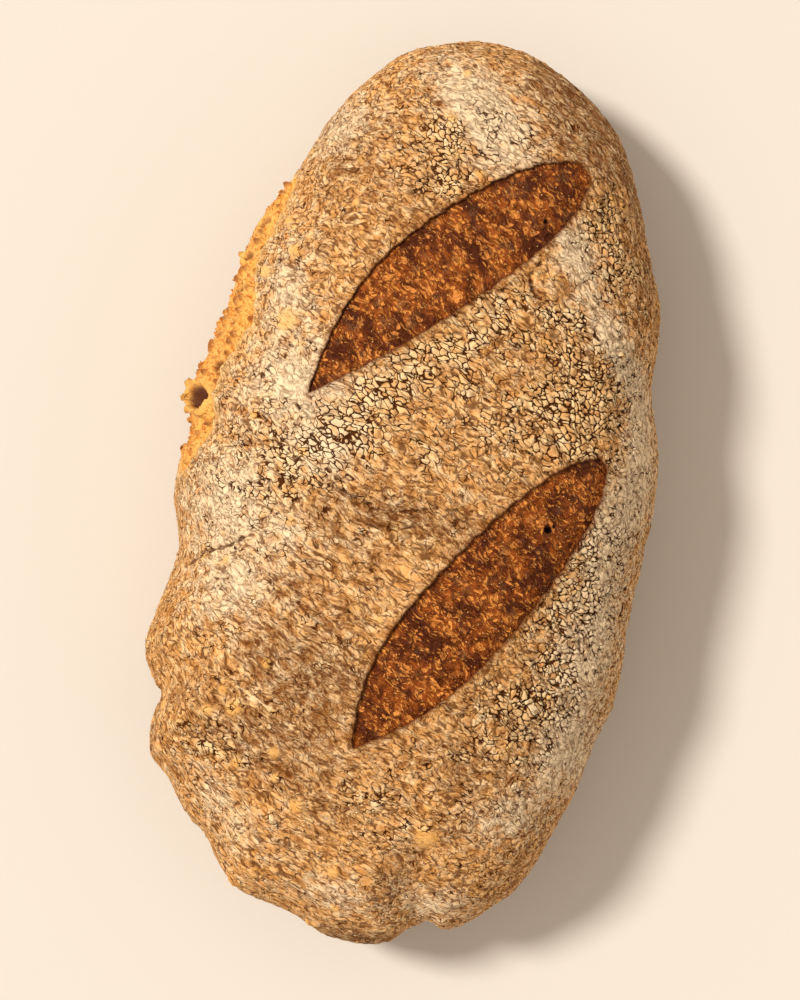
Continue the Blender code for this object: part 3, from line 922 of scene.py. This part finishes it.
def crust_material():
    """Tan crust with flour on its plates, browned patches, painted shade in its hollows, furrows and
    creases, painted highlights on its lumps and grain, and dark cracks that are partly brown crust and
    partly painted shade.
    """
    material, tree, shader = new_material("floured_crust", 0.85, 0.05)
    place = attribute(tree, "drawn_mm", "Vector")
    names = ("crackle", "patchy", "broken", "blister", "lump", "broad", "middling", "seam",
             "toast_and_shade", "gold_and_rim_light", "flour", "rim", "torn_rim", "under")
    field = {label: attribute(tree, label) for label in names}
    sources = {label.title(): field[label] for label in ("crackle", "patchy", "broken", "blister")}
    crackle = build_crackle("crackle_paint", "ShaderNodeTree")
    pattern = put(tree, "ShaderNodeGroup", {"Place": place, **sources}, node_tree=crackle)
    crack, line, tone, furrow, whole, _, fine_height = (pattern.outputs[key] for key in CRACKLE_OUTPUTS)
    grain = centred(tree, place, 0.5, 1.0, 0.6)
    lump, middling = field["lump"], field["middling"]

    # Painted shade: browner in the hollows between lumps, where the lump term is taken away, on top of the
    # browned patches.
    toast_and_shade = stacked(tree, field["toast_and_shade"], (field["broad"], 1.1), (middling, 0.7), (lump, -1.2))
    # Painted highlight: the pale cream is stronger where the grain and lumps stand highest.
    pale = stacked(tree, 0.75, (grain, 0.9), (whole, -0.45), (lump, 0.8), (tone, 0.5))
    # Flour, and painted highlight: this mask is also stronger on the tops of lumps and on raised grain.
    flour = stacked(tree, field["flour"], (middling, 1.1), (lump, 0.9), (tone, 0.4), (grain, 0.7))
    bare = ramp(tree, flour, 0.5, 1.1, 0.85, 0.5)
    seam = stacked(tree, field["seam"], (middling, 1.2))
    layers = (
        (ramp(tree, toast_and_shade, 0.0, 0.9), CRUST_BROWN),
        # Golden patches, and along the +X edge a painted highlight.
        (times(tree, field["gold_and_rim_light"], 0.8), CRUST_GOLD),
        (ramp(tree, pale, 0.0, 1.0), CRUST_PALE),
        (ramp(tree, flour, 0.15, 1.05, 0.0, 0.9), FLOUR_WHITE),
        (times(tree, field["blister"], 0.7), BLISTER_YELLOW),
        # Painted shade: the low spots of the fine grain, which is also its bump, are darkened.
        (ramp(tree, grain, -0.12, -0.32, 0.0, 0.4), CRUST_DARK),
        # Painted shade: the winding furrows, which sink into the surface, are darkened.
        (times(tree, furrow, bare), CRUST_DARK),
        # The thin lines round the plates, which sink a little, are painted dark: partly brown crust,
        # partly painted shade.
        (times(tree, line, bare), CRUST_DARK),
        # The cracks are painted dark brown: partly the brown crust showing through, partly painted shade
        # in them.
        (times(tree, crack, 0.97), CRACK_BROWN_AND_SHADE),
        # The seams are painted dark brown: partly brown crust, partly painted shadow in their grooves.
        (ramp(tree, seam, 0.3, 0.8, 0.0, 0.8), CRACK_BROWN_AND_SHADE),
        (times(tree, field["rim"], 0.85), LIP_BROWN),
        (times(tree, field["torn_rim"], 0.8), LIP_CREAM),
        (times(tree, field["under"], 0.5), CRUST_BROWN),
    )
    finish_surface(tree, shader, CRUST_TAN, layers, stacked(tree, fine_height, (grain, 0.3)))
    return material


crust_finish = crust_material()
points, faces, part, fields = open_crust()
sheet = run_tree(fill_mesh("crust_sheet", points, faces, fields), build_crust_relief(),
                 {"Relief": 1.0, "Material": crust_finish})
points, normals, fields = mesh_arrays(sheet)
points[:, 2] = np.maximum(points[:, 2], 0.0)
centres = points[faces].mean(axis=1)
crust_parts = {
    "crust_crown_head": (part == 0) & (centres[:, 1] >= 0.0),
    "crust_crown_foot": (part == 0) & (centres[:, 1] < 0.0),
    "crust_flank_right": (part == 1) & (centres[:, 0] >= 0.0),
    "crust_flank_left": (part == 1) & (centres[:, 0] < 0.0),
    "crust_skirt": part == 2,
}
for name, chosen in crust_parts.items():
    cut_piece(name, points, normals, faces[chosen], fields, crust_finish)


# Slash surfaces
# Where the blade opened the dough its inside rose into the gap and baked to a thin, dark, slightly
# glossy skin, lumpy and drawn into bands across the cut. Each is a sheet that runs in under the lips.
SLASH_ROWS = 380
SLASH_COLUMNS = 96
SLASH_SPARE = 1.1
SLASH_EDGE_DEPTH = 0.6
SLASH_MIDDLE_DEPTH = 0.1
SLASH_RISE_REACH = 6.5
# place in plan, radius and depth
SLASH_PITS = ((43.9, -4.4, 1.1, 2.4), (26.0, 92.0, 0.6, 1.2), (45.6, -3.0, 0.5, 1.0))


def slash_sheet(slash):
    """Points, faces and fields of the skin in one slash."""
    along = np.sin(0.5 * math.pi * np.arange(SLASH_ROWS + 1) / SLASH_ROWS)
    across = np.linspace(1.0, -1.0, SLASH_COLUMNS + 1)
    along, across = np.meshgrid(along, across, indexing="ij")
    x, y = slash_point(slash, along.ravel(), across.ravel(), SLASH_SPARE)
    angle, climb = climb_over(x, y)
    points = skin(angle, climb)
    points[:, 0], points[:, 1] = x, y
    beyond, _ = beyond_loop(points[:, :2], slash_loop(slash))
    sinking = smooth_step(1.0 + beyond / SLASH_RISE_REACH)
    points[:, 2] -= SLASH_MIDDLE_DEPTH + (SLASH_EDGE_DEPTH - SLASH_MIDDLE_DEPTH) * sinking
    pit = np.zeros_like(x)
    for at_x, at_y, radius, pit_depth in SLASH_PITS:
        cap = smooth_step(1.5 - np.hypot(x - at_x, y - at_y) / radius)
        points[:, 2] -= pit_depth * cap
        pit = np.maximum(pit, cap)
    number = np.arange(points.shape[0]).reshape(SLASH_ROWS + 1, SLASH_COLUMNS + 1)
    bearing = math.radians(slash[1])
    ahead = x * math.cos(bearing) + y * math.sin(bearing)
    aside = y * math.cos(bearing) - x * math.sin(bearing)
    fields = {
        "rest_mm": np.stack([ahead, aside, points[:, 2]], axis=1),
        "inside": np.maximum(-beyond, 0.0),
        "calm": 0.15 + 0.85 * smooth_step(-beyond / 2.5),
        "pit": pit,
    }
    return points, grid_faces(number)[:, ::-1], fields


BAKED_INPUTS = {"Flake Size": 0.78, "Band Size": 6.5}
GAP_WIDTH = 0.13
BAKED_OUTPUTS = ("Gap", "Tone", "Band", "Height", "Fine Height")


def build_baked_dough(name, kind):
    """Flakes drawn out across the slash, on darker and lighter bands."""
    tree, given, result = new_group(name, kind, {"Rest": None, **BAKED_INPUTS}, BAKED_OUTPUTS)
    place = pushed(tree, given["Rest"], drift(tree, given["Rest"], 5.5), 4.5)
    flakes_at = vector_calc(tree, "MULTIPLY", place, (1.0, 0.4, 1.0))
    flakes_at = pushed(tree, flakes_at, drift(tree, flakes_at, 1.3, 0.0), 1.2)
    opened = ramp(tree, noise(tree, place, 2.4, 1.0), 0.36, 0.62)
    gap, _, dome, tone, lean = add_plates(tree, flakes_at, given["Flake Size"], GAP_WIDTH, opened)
    bands_at = vector_calc(tree, "MULTIPLY", place, (1.0, 0.3, 0.6))
    band = noise(tree, bands_at, given["Band Size"], 3.0, 0.6)
    banded, lumpy = calc(tree, "SUBTRACT", band, 0.5), centred(tree, place, 2.2, 1.0)
    height = stacked(tree, 0.0, (lean, 0.6), (banded, 2.6), (lumpy, 1.1))
    fine_height = stacked(tree, 0.0, (lean, 0.6), (dome, 0.16), (gap, -0.22))
    join(tree, zip(BAKED_OUTPUTS, (gap, tone, band, height, fine_height)), result)
    return tree


def build_sheet_relief(name, pattern_tree, sizes):
    """A tree that raises a pattern's height on a sheet of its own."""
    inputs = {"Geometry": None, **sizes, "Relief": 1.0, "Material": None}
    tree, given, result = new_group(name, "GeometryNodeTree", inputs, ("Geometry",))
    sources = {label: given[label] for label in sizes}
    sources["Rest"] = named(tree, "rest_mm", "FLOAT_VECTOR")
    pattern = put(tree, "GeometryNodeGroup", sources, node_tree=pattern_tree)
    height = times(tree, pattern.outputs["Height"], named(tree, "calm"))
    raised = raise_surface(tree, given["Geometry"], height, given)
    return close_tree(tree, raised, given["Material"], result)


GLINT_SPACING = 1.7
SLASH_PIT_SHADE = linear(0.10, 0.03, 0.01)
SLASH_DARK = linear(0.34, 0.14, 0.035)
SLASH_BROWN = linear(0.62, 0.315, 0.095)
SLASH_FLAKE = linear(0.93, 0.60, 0.28)
SLASH_ASH = linear(0.42, 0.28, 0.19)
SLASH_GLINT = linear(0.95, 0.76, 0.50)


def slash_material():
    """Dark brown baked dough with orange flakes, ashy patches, small pale glints that are painted
    highlights, and painted shade along its edges and in its pits.
    """
    material, tree, shader = new_material("baked_slash", 0.45, 0.16)
    rest = attribute(tree, "rest_mm", "Vector")
    baked = build_baked_dough("baked_paint", "ShaderNodeTree")
    pattern = put(tree, "ShaderNodeGroup", {"Rest": rest}, node_tree=baked)
    gap, tone, band, _, fine_height = (pattern.outputs[key] for key in BAKED_OUTPUTS)
    drawn = vector_calc(tree, "MULTIPLY", rest, (1.0, 0.32, 1.0))
    streak = centred(tree, drawn, 0.6, 2.0, 0.65, 1.2)
    bake = stacked(tree, -1.14, (band, 3.2), (centred(tree, rest, 8.0, 3.0, 0.6), 2.0), (streak, 1.3))
    flake = stacked(tree, 0.0, (bake, 0.75), (tone, 2.4), (streak, 1.2))
    glints = cells(tree, rest, GLINT_SPACING)
    chosen = ramp(tree, parts_of(tree, glints["Color"])[0], 0.4, 0.45)
    glint = times(tree, ramp(tree, glints["Distance"], 0.18, 0.1), chosen)
    layers = (
        (ramp(tree, bake, 0.0, 0.75), SLASH_BROWN),
        (ramp(tree, flake, 0.4, 1.5), SLASH_FLAKE),
        (ramp(tree, noise(tree, rest, 5.0, 2.0), 0.56, 0.72, 0.0, 0.55), SLASH_ASH),
        # Painted highlight: small pale specks stand in for glints of light on the glossy skin.
        (times(tree, glint, 0.85), SLASH_GLINT),
        (times(tree, gap, 0.8), SLASH_DARK),
        # Painted shade: the skin darkens towards its edges, under the crust's lips.
        (ramp(tree, attribute(tree, "inside"), 1.0, 0.1, 0.0, 0.6), SLASH_DARK),
        # Painted shade: the pits are painted nearly black.
        (attribute(tree, "pit"), SLASH_PIT_SHADE),
    )
    raised = stacked(tree, fine_height, (glint, 0.1), (streak, 0.5))
    finish_surface(tree, shader, SLASH_DARK, layers, raised)
    sheen = ramp(tree, noise(tree, rest, 2.2, 2.0), 0.35, 0.65, 0.34, 0.7)
    tree.links.new(sheen, shader.inputs["Roughness"])
    return material


slash_finish = slash_material()
slash_pattern = build_baked_dough("baked_shape", "GeometryNodeTree")
slash_relief = build_sheet_relief("slash_relief", slash_pattern, BAKED_INPUTS)
for name, slash in SLASHES.items():
    sheet = fill_mesh(name, *slash_sheet(slash))
    add_piece(name, run_tree(sheet, slash_relief, {"Relief": 1.0, "Material": slash_finish}), slash_finish)


# Torn side
# The crust burst along the -X side while the loaf still rose, and the crumb pulled apart there: golden,
# open and ragged, with strands, bubbles and one larger hole. It is a sheet that bulges out of the gap.
TEAR_PITCH = 0.3
TEAR_SPARE = 2.4
TEAR_EDGE_DEPTH = 0.7
TEAR_MIDDLE_DEPTH = -0.3
TEAR_SHELF = 1.9
TEAR_RISE_REACH = 5.0
TEAR_SPARE_SLOPE = 0.7
HOLE_RIM_SHARE = 0.12
FLAKY_HEIGHT = 40.0
FLAKY_REACH = 6.0
# place along the loaf, height, half length, half height and depth
TEAR_HOLES = (
    (17.5, 53.0, 4.4, 9.5, 8.0),
    (29.0, 59.0, 1.9, 3.2, 2.8),
    (66.0, 50.0, 1.8, 4.5, 2.6),
    (78.0, 50.0, 1.9, 5.0, 2.2),
    (55.0, 55.0, 1.7, 3.4, 2.8),
)


def tear_sheet():
    """Points, faces and fields of the torn crumb, a plain grid on the side with its spare cut off."""
    loop = tear_loop()
    low, high = loop.min(axis=0) - TEAR_SPARE, loop.max(axis=0) + TEAR_SPARE
    rows, columns = (np.ceil((high - low) / TEAR_PITCH)).astype(int) + 1
    y, z = np.linspace(low[0], high[0], rows), np.linspace(low[1], high[1], columns)
    y, z = (places.ravel() for places in np.meshgrid(y, z, indexing="ij"))
    beyond, _ = beyond_loop(np.stack([y, z], axis=1), loop)
    faces = grid_faces(np.arange(len(y)).reshape(rows, columns))
    used, faces = np.unique(faces[(beyond[faces] < TEAR_SPARE).any(axis=1)], return_inverse=True)
    y, z, beyond = y[used], z[used], beyond[used]
    angle, climb = climb_beside(y, z)
    points = skin(angle, climb)
    rest = points.copy()
    sinking = smooth_step(1.0 + beyond / TEAR_RISE_REACH)
    depth = TEAR_MIDDLE_DEPTH + (TEAR_EDGE_DEPTH - TEAR_MIDDLE_DEPTH) * sinking
    depth += TEAR_SPARE_SLOPE * np.maximum(beyond, 0.0)
    headwards = smooth_step((y - 40.0) / 20.0)
    depth += TEAR_SHELF * headwards * smooth_step((46.0 - z) / 10.0)
    hole, hole_rim = np.zeros_like(y), np.zeros_like(y)
    for hole_y, hole_z, half_length, half_height, hole_depth in TEAR_HOLES:
        away = np.hypot((y - hole_y) / half_length, (z - hole_z) / half_height)
        depth += hole_depth * smooth_step(1.3 - away)
        depth -= HOLE_RIM_SHARE * hole_depth * np.exp(-((away - 1.25) / 0.25) ** 2)
        hole = np.maximum(hole, smooth_step(2.0 * (1.25 - away)) * min(1.0, hole_depth / 4.0))
        hole_rim = np.maximum(hole_rim, np.exp(-((away - 1.25) / 0.2) ** 2))
    points += depth[:, None] * np.stack([-np.cos(angle), -np.sin(angle), np.zeros_like(angle)], axis=1)
    flaky = np.exp(-(((z - FLAKY_HEIGHT) / FLAKY_REACH) ** 2))
    fields = {
        "rest_mm": rest,
        "inside": np.maximum(-beyond, 0.0),
        "calm": (0.3 + 0.7 * smooth_step(-beyond / 1.5)) * (1.0 - 0.8 * hole),
        "hole": hole,
        "hole_rim": hole_rim,
        "shelf": headwards * smooth_step((46.0 - z) / 6.0),
        "flaky": np.where(beyond < -0.5, flaky * np.maximum(1.0 - 2.5 * hole, 0.0), 0.0),
    }
    return points, faces.reshape(-1, 4)[:, ::-1], fields


CRUMB_INPUTS = {"Bubble Size": 3.8, "Strand Size": 1.5}
CRUMB_OUTPUTS = ("Bubble", "Strand", "Height")


def build_torn_crumb(name, kind):
    """Open bubbles with thin walls, and strands drawn out up and down."""
    tree, given, result = new_group(name, kind, {"Rest": None, **CRUMB_INPUTS}, CRUMB_OUTPUTS)
    rest = given["Rest"]
    place = pushed(tree, rest, drift(tree, rest, 4.0), 3.0)
    drawn = vector_calc(tree, "MULTIPLY", place, (1.0, 1.0, 0.6))
    walls = cells(tree, drawn, given["Bubble Size"], "SMOOTH_F1", Smoothness=0.25)["Distance"]
    open_here = ramp(tree, noise(tree, place, 5.0, 1.0), 0.33, 0.52)
    bubble = times(tree, ramp(tree, walls, 0.5, 0.12), open_here)
    threads_at = vector_calc(tree, "MULTIPLY", place, (1.0, 1.0, 0.35))
    threads = noise(tree, threads_at, given["Strand Size"], 2.0, 0.6, 0.6)
    threads = calc(tree, "ABSOLUTE", calc(tree, "MULTIPLY_ADD", threads, 2.0, -1.0))
    strand = ramp(tree, threads, 0.0, 0.4, 1.0, 0.0)
    height = stacked(tree, 0.0, (bubble, -1.7), (strand, 0.55), (centred(tree, rest, 6.5, 2.0), 4.2))
    join(tree, zip(CRUMB_OUTPUTS, (bubble, strand, height)), result)
    return tree


CRUMB_GOLD = linear(0.90, 0.58, 0.21)
CRUMB_HIGHLIGHT = linear(0.98, 0.78, 0.42)
CRUMB_AMBER = linear(0.73, 0.36, 0.07)
CRUMB_SHADE_BROWN = linear(0.52, 0.24, 0.045)
CRUMB_HOLE_SHADE = linear(0.32, 0.13, 0.02)
CRUMB_SHELF = linear(0.80, 0.55, 0.32)


def crumb_material():
    """Golden and amber torn crumb, with painted shade in its bubbles, specks and holes, painted highlights
    on its strands and on the rims of its holes, and browned at its edges.
    """
    material, tree, shader = new_material("torn_crumb", 0.62, 0.3)
    rest = attribute(tree, "rest_mm", "Vector")
    torn = build_torn_crumb("crumb_paint", "ShaderNodeTree")
    pattern = put(tree, "ShaderNodeGroup", {"Rest": rest}, node_tree=torn)
    bubble, strand, _ = (pattern.outputs[key] for key in CRUMB_OUTPUTS)
    hole = attribute(tree, "hole")
    patchy, speckle = noise(tree, rest, 5.0, 3.0, 0.65), noise(tree, rest, 0.9, 2.0, 0.6)
    shelf = stacked(tree, attribute(tree, "shelf"), (calc(tree, "SUBTRACT", patchy, 0.5), 1.6))
    layers = (
        (ramp(tree, patchy, 0.38, 0.6), CRUMB_GOLD),
        # Painted highlight: the raised strands are painted pale.
        (times(tree, strand, 0.7), CRUMB_HIGHLIGHT),
        # Painted shade: the hollows of open bubbles are painted brown.
        (times(tree, bubble, 0.85), CRUMB_SHADE_BROWN),
        # Painted shade: the low spots of the fine speckle, which is also its bump, are painted brown.
        (ramp(tree, speckle, 0.42, 0.28, 0.0, 0.6), CRUMB_SHADE_BROWN),
        (ramp(tree, attribute(tree, "inside"), 1.0, 0.0, 0.0, 0.5), CRUMB_AMBER),
        (ramp(tree, shelf, 0.3, 0.8, 0.0, 0.75), CRUMB_SHELF),
        # Painted shade: the holes are painted brown, and their deepest part nearly black.
        (times(tree, hole, 0.85), CRUMB_SHADE_BROWN),
        (ramp(tree, hole, 0.4, 0.9, 0.0, 0.9), CRUMB_HOLE_SHADE),
        # Painted highlight: the raised rims of the holes are painted pale.
        (times(tree, attribute(tree, "hole_rim"), 0.5), CRUMB_HIGHLIGHT),
    )
    finish_surface(tree, shader, CRUMB_AMBER, layers, stacked(tree, 0.0, (strand, 0.2), (speckle, 0.3)))
    return material


crumb_finish = crumb_material()
crumb_pattern = build_torn_crumb("crumb_shape", "GeometryNodeTree")
crumb_relief = build_sheet_relief("crumb_relief", crumb_pattern, CRUMB_INPUTS)
sheet = fill_mesh("torn_crumb", *tear_sheet())
crumb = run_tree(sheet, crumb_relief, {"Relief": 1.0, "Material": crumb_finish})
add_piece("torn_crumb", crumb, crumb_finish)


# Torn flakes
# Where the crumb pulled apart, thin shreds of it dried and stand out along the tear's outer edge. They
# are small bent flakes, scattered over the crumb there, each with the thickness of a film of dough.
FLAKE_WARP_SIZE = 1.2
FLAKE_WARP = 2.6


def build_torn_flakes():
    """A tree that scatters bent flakes over the crumb and warps each one differently."""
    inputs = {"Geometry": None, "Density": 90000.0, "Seed": 7, "Flake Length": 3.2, "Thickness": 0.25,
              "Material": None}
    tree, given, result = new_group("torn_flakes", "GeometryNodeTree", inputs, ("Geometry",))
    seed = given["Seed"]
    density = times(tree, given["Density"], named(tree, "flaky"))
    spread = put(tree, "GeometryNodeDistributePointsOnFaces", {
        "Mesh": given["Geometry"], "Density": density, "Seed": seed}).outputs
    length = times(tree, given["Flake Length"], MM)
    width = times(tree, length, 0.6)
    flake = put(tree, "GeometryNodeMeshGrid", {
        "Size X": length, "Size Y": width, "Vertices X": 8, "Vertices Y": 6}).outputs["Mesh"]
    rooted = put(tree, "ShaderNodeCombineXYZ", {"X": times(tree, length, 0.4)}).outputs[0]
    flake = put(tree, "GeometryNodeTransform", {"Geometry": flake, "Translation": rooted}).outputs[0]
    turn = put(tree, "FunctionNodeRandomValue", {
        0: (-0.4, -1.3, 0.0), 1: (0.4, -0.3, math.tau), "Seed": seed}, data_type="FLOAT_VECTOR").outputs[0]
    turn = put(tree, "FunctionNodeEulerToRotation", {0: turn}).outputs[0]
    turned = put(tree, "FunctionNodeRotateRotation", {
        "Rotation": spread["Rotation"], "Rotate By": turn}, rotation_space="LOCAL").outputs[0]
    girth = put(tree, "FunctionNodeRandomValue", {2: 0.55, 3: 1.5, "Seed": seed}, data_type="FLOAT")
    placed = put(tree, "GeometryNodeInstanceOnPoints", {
        "Points": spread["Points"], "Instance": flake, "Rotation": turned, "Scale": girth.outputs[1]})
    real = put(tree, "GeometryNodeRealizeInstances", {"Geometry": placed.outputs[0]}).outputs[0]
    position = tree.nodes.new("GeometryNodeInputPosition").outputs[0]
    position = vector_calc(tree, "SCALE", position, 1.0 / MM)
    warp = vector_calc(tree, "SCALE", drift(tree, position, FLAKE_WARP_SIZE, 1.0), FLAKE_WARP * MM)
    warped = put(tree, "GeometryNodeSetPosition", {"Geometry": real, "Offset": warp}).outputs[0]
    thickness = times(tree, given["Thickness"], MM)
    thick = put(tree, "GeometryNodeExtrudeMesh", {
        "Mesh": warped, "Offset Scale": thickness, "Individual": False}).outputs[0]
    back = put(tree, "GeometryNodeFlipFaces", {"Mesh": warped}).outputs[0]
    closed = put(tree, "GeometryNodeJoinGeometry")
    for half_flake in (thick, back):
        tree.links.new(half_flake, closed.inputs[0])
    stored = store(tree, closed.outputs[0], "rest_mm", position, "FLOAT_VECTOR")
    return close_tree(tree, stored, given["Material"], result)


flakes = run_tree(crumb.copy(), build_torn_flakes(), {"Material": crumb_finish})
add_piece("torn_flakes", flakes, crumb_finish)


# Base
# The underside baked flat against a hot stone: a plain browned crust with a little flour and small
# pits where steam lay under it. It is a sheet of rings from the middle out to the skirt's lower rim.
BASE_RINGS = 90
BASE_SPOKES = 360
BASE_PIT = 0.8


def base_sheet():
    """Points, faces and fields of the base, which rises a little in its pits."""
    turn = math.tau * np.arange(BASE_SPOKES) / BASE_SPOKES
    turn = np.arctan2(HALF_LENGTH * np.sin(turn), HALF_WIDTH * np.cos(turn))
    rim = radius_at(turn, np.full_like(turn, BASE_RATIO))
    shares = np.linspace(0.0, 1.0, BASE_RINGS + 1)[1:]
    x = np.concatenate([[0.0], np.outer(shares, rim * np.cos(turn)).ravel()])
    y = np.concatenate([[0.0], np.outer(shares, rim * np.sin(turn)).ravel()])
    points = np.stack([x, y, np.zeros_like(x)], axis=1)
    number = 1 + np.arange(BASE_RINGS * BASE_SPOKES).reshape(BASE_RINGS, BASE_SPOKES)
    quads = np.stack([number[:-1], np.roll(number[:-1], -1, axis=1),
                      np.roll(number[1:], -1, axis=1), number[1:]], axis=-1).reshape(-1, 4)
    first = np.stack([np.zeros(BASE_SPOKES, int), np.roll(number[0], -1), number[0]], axis=1)
    faces = np.concatenate([quads[:, [0, 1, 2]], quads[:, [0, 2, 3]], first])
    share = np.concatenate([[0.0], np.repeat(shares, BASE_SPOKES)])
    return points, faces, {"rest_mm": points.copy(), "share": share}


def build_base_relief():
    """A tree that sinks small pits into the base, and nothing below the plane that it rests on."""
    inputs = {"Geometry": None, "Pit Depth": BASE_PIT, "Pit Size": 5.0, "Material": None}
    tree, given, result = new_group("base_relief", "GeometryNodeTree", inputs, ("Geometry",))
    pits = noise(tree, named(tree, "rest_mm", "FLOAT_VECTOR"), given["Pit Size"], 3.0)
    inner = ramp(tree, named(tree, "share"), 1.0, 0.94)
    depth = times(tree, ramp(tree, pits, 0.5, 0.72), given["Pit Depth"], inner, MM)
    offset = put(tree, "ShaderNodeCombineXYZ", {"Z": depth}).outputs[0]
    moved = put(tree, "GeometryNodeSetPosition", {"Geometry": given["Geometry"], "Offset": offset})
    return close_tree(tree, moved.outputs[0], given["Material"], result)


BASE_BROWN = linear(0.56, 0.36, 0.18)
BASE_DARK = linear(0.36, 0.20, 0.09)


def base_material():
    """Even brown crust with darker pits and a dusting of flour."""
    material, tree, shader = new_material("baked_base", 0.85, 0.2)
    rest = attribute(tree, "rest_mm", "Vector")
    broad, fine = noise(tree, rest, 20.0, 4.0, 0.6), noise(tree, rest, 1.4, 3.0, 0.6)
    dust = stacked(tree, 0.0, (broad, 0.6), (fine, 0.6))
    layers = (
        (ramp(tree, broad, 0.35, 0.65), BASE_DARK),
        (ramp(tree, noise(tree, rest, 5.0, 3.0), 0.55, 0.7, 0.0, 0.6), BASE_DARK),
        (ramp(tree, dust, 0.62, 0.85, 0.0, 0.6), FLOUR_WHITE),
    )
    finish_surface(tree, shader, BASE_BROWN, layers, fine, 0.6, 0.3 * MM)
    return material


base_finish = base_material()
sheet = fill_mesh("crust_base", *base_sheet())
add_piece("crust_base", run_tree(sheet, build_base_relief(), {"Material": base_finish}), base_finish)


# Table, light and camera
# A plain pale table top under soft warm light from the upper left, and the camera straight above the
# loaf, rolled so that the loaf leans a little to the right as in the photograph.
TABLE_SIZE = 12.0
TABLE_GAP = 0.1 * MM
TABLE_COLOUR = linear(0.88, 0.855, 0.82)
CAMERA_HEIGHT = 1.2
CAMERA_AIM = (-3.84 * MM, -3.40 * MM)
LOAF_LEAN = math.radians(10.3)
PICTURE_HEIGHT = 330.4 * MM
LIGHT_BEARING = math.radians(165.0)
LIGHT_ELEVATION = math.radians(54.0)
LIGHT_SPREAD = math.radians(11.0)
LIGHT_STRENGTH = 2.82
LIGHT_COLOUR = (1.0, 0.95, 0.87)
SKY_STRENGTH = 0.585
SKY_COLOUR = (1.0, 0.88, 0.755, 1.0)

table_mesh = bpy.data.meshes.new("table_top")
half = 0.5 * TABLE_SIZE
table_corners = [(x * half, y * half, -TABLE_GAP) for x, y in ((-1, -1), (1, -1), (1, 1), (-1, 1))]
table_mesh.from_pydata(table_corners, [], [(0, 1, 2, 3)])
table_top = add_object("table_top", table_mesh)
table_finish, _, table_shader = new_material("pale_table", 0.6, 0.2)
table_shader.inputs["Base Color"].default_value = TABLE_COLOUR
table_mesh.materials.append(table_finish)

sun = add_object("key_light", bpy.data.lights.new("key_light", "SUN"))
sun.data.energy = LIGHT_STRENGTH
sun.data.angle = LIGHT_SPREAD
sun.data.color = LIGHT_COLOUR
sun.rotation_euler = (0.0, 0.5 * math.pi - LIGHT_ELEVATION, LIGHT_BEARING)

world = bpy.data.worlds.new("studio")
bpy.context.scene.world = world
world.use_nodes = True
world.node_tree.nodes["Background"].inputs["Color"].default_value = SKY_COLOUR
world.node_tree.nodes["Background"].inputs["Strength"].default_value = SKY_STRENGTH

camera = add_object("camera", bpy.data.cameras.new("camera"))
camera.data.sensor_width = 36.0
camera.data.lens = 36.0 * (CAMERA_HEIGHT - WIDEST_HEIGHT * MM) / PICTURE_HEIGHT
camera.location = (CAMERA_AIM[0], CAMERA_AIM[1], CAMERA_HEIGHT)
camera.rotation_euler = (0.0, 0.0, LOAF_LEAN)
bpy.context.scene.camera = camera
bpy.context.scene.view_settings.view_transform = "Standard"
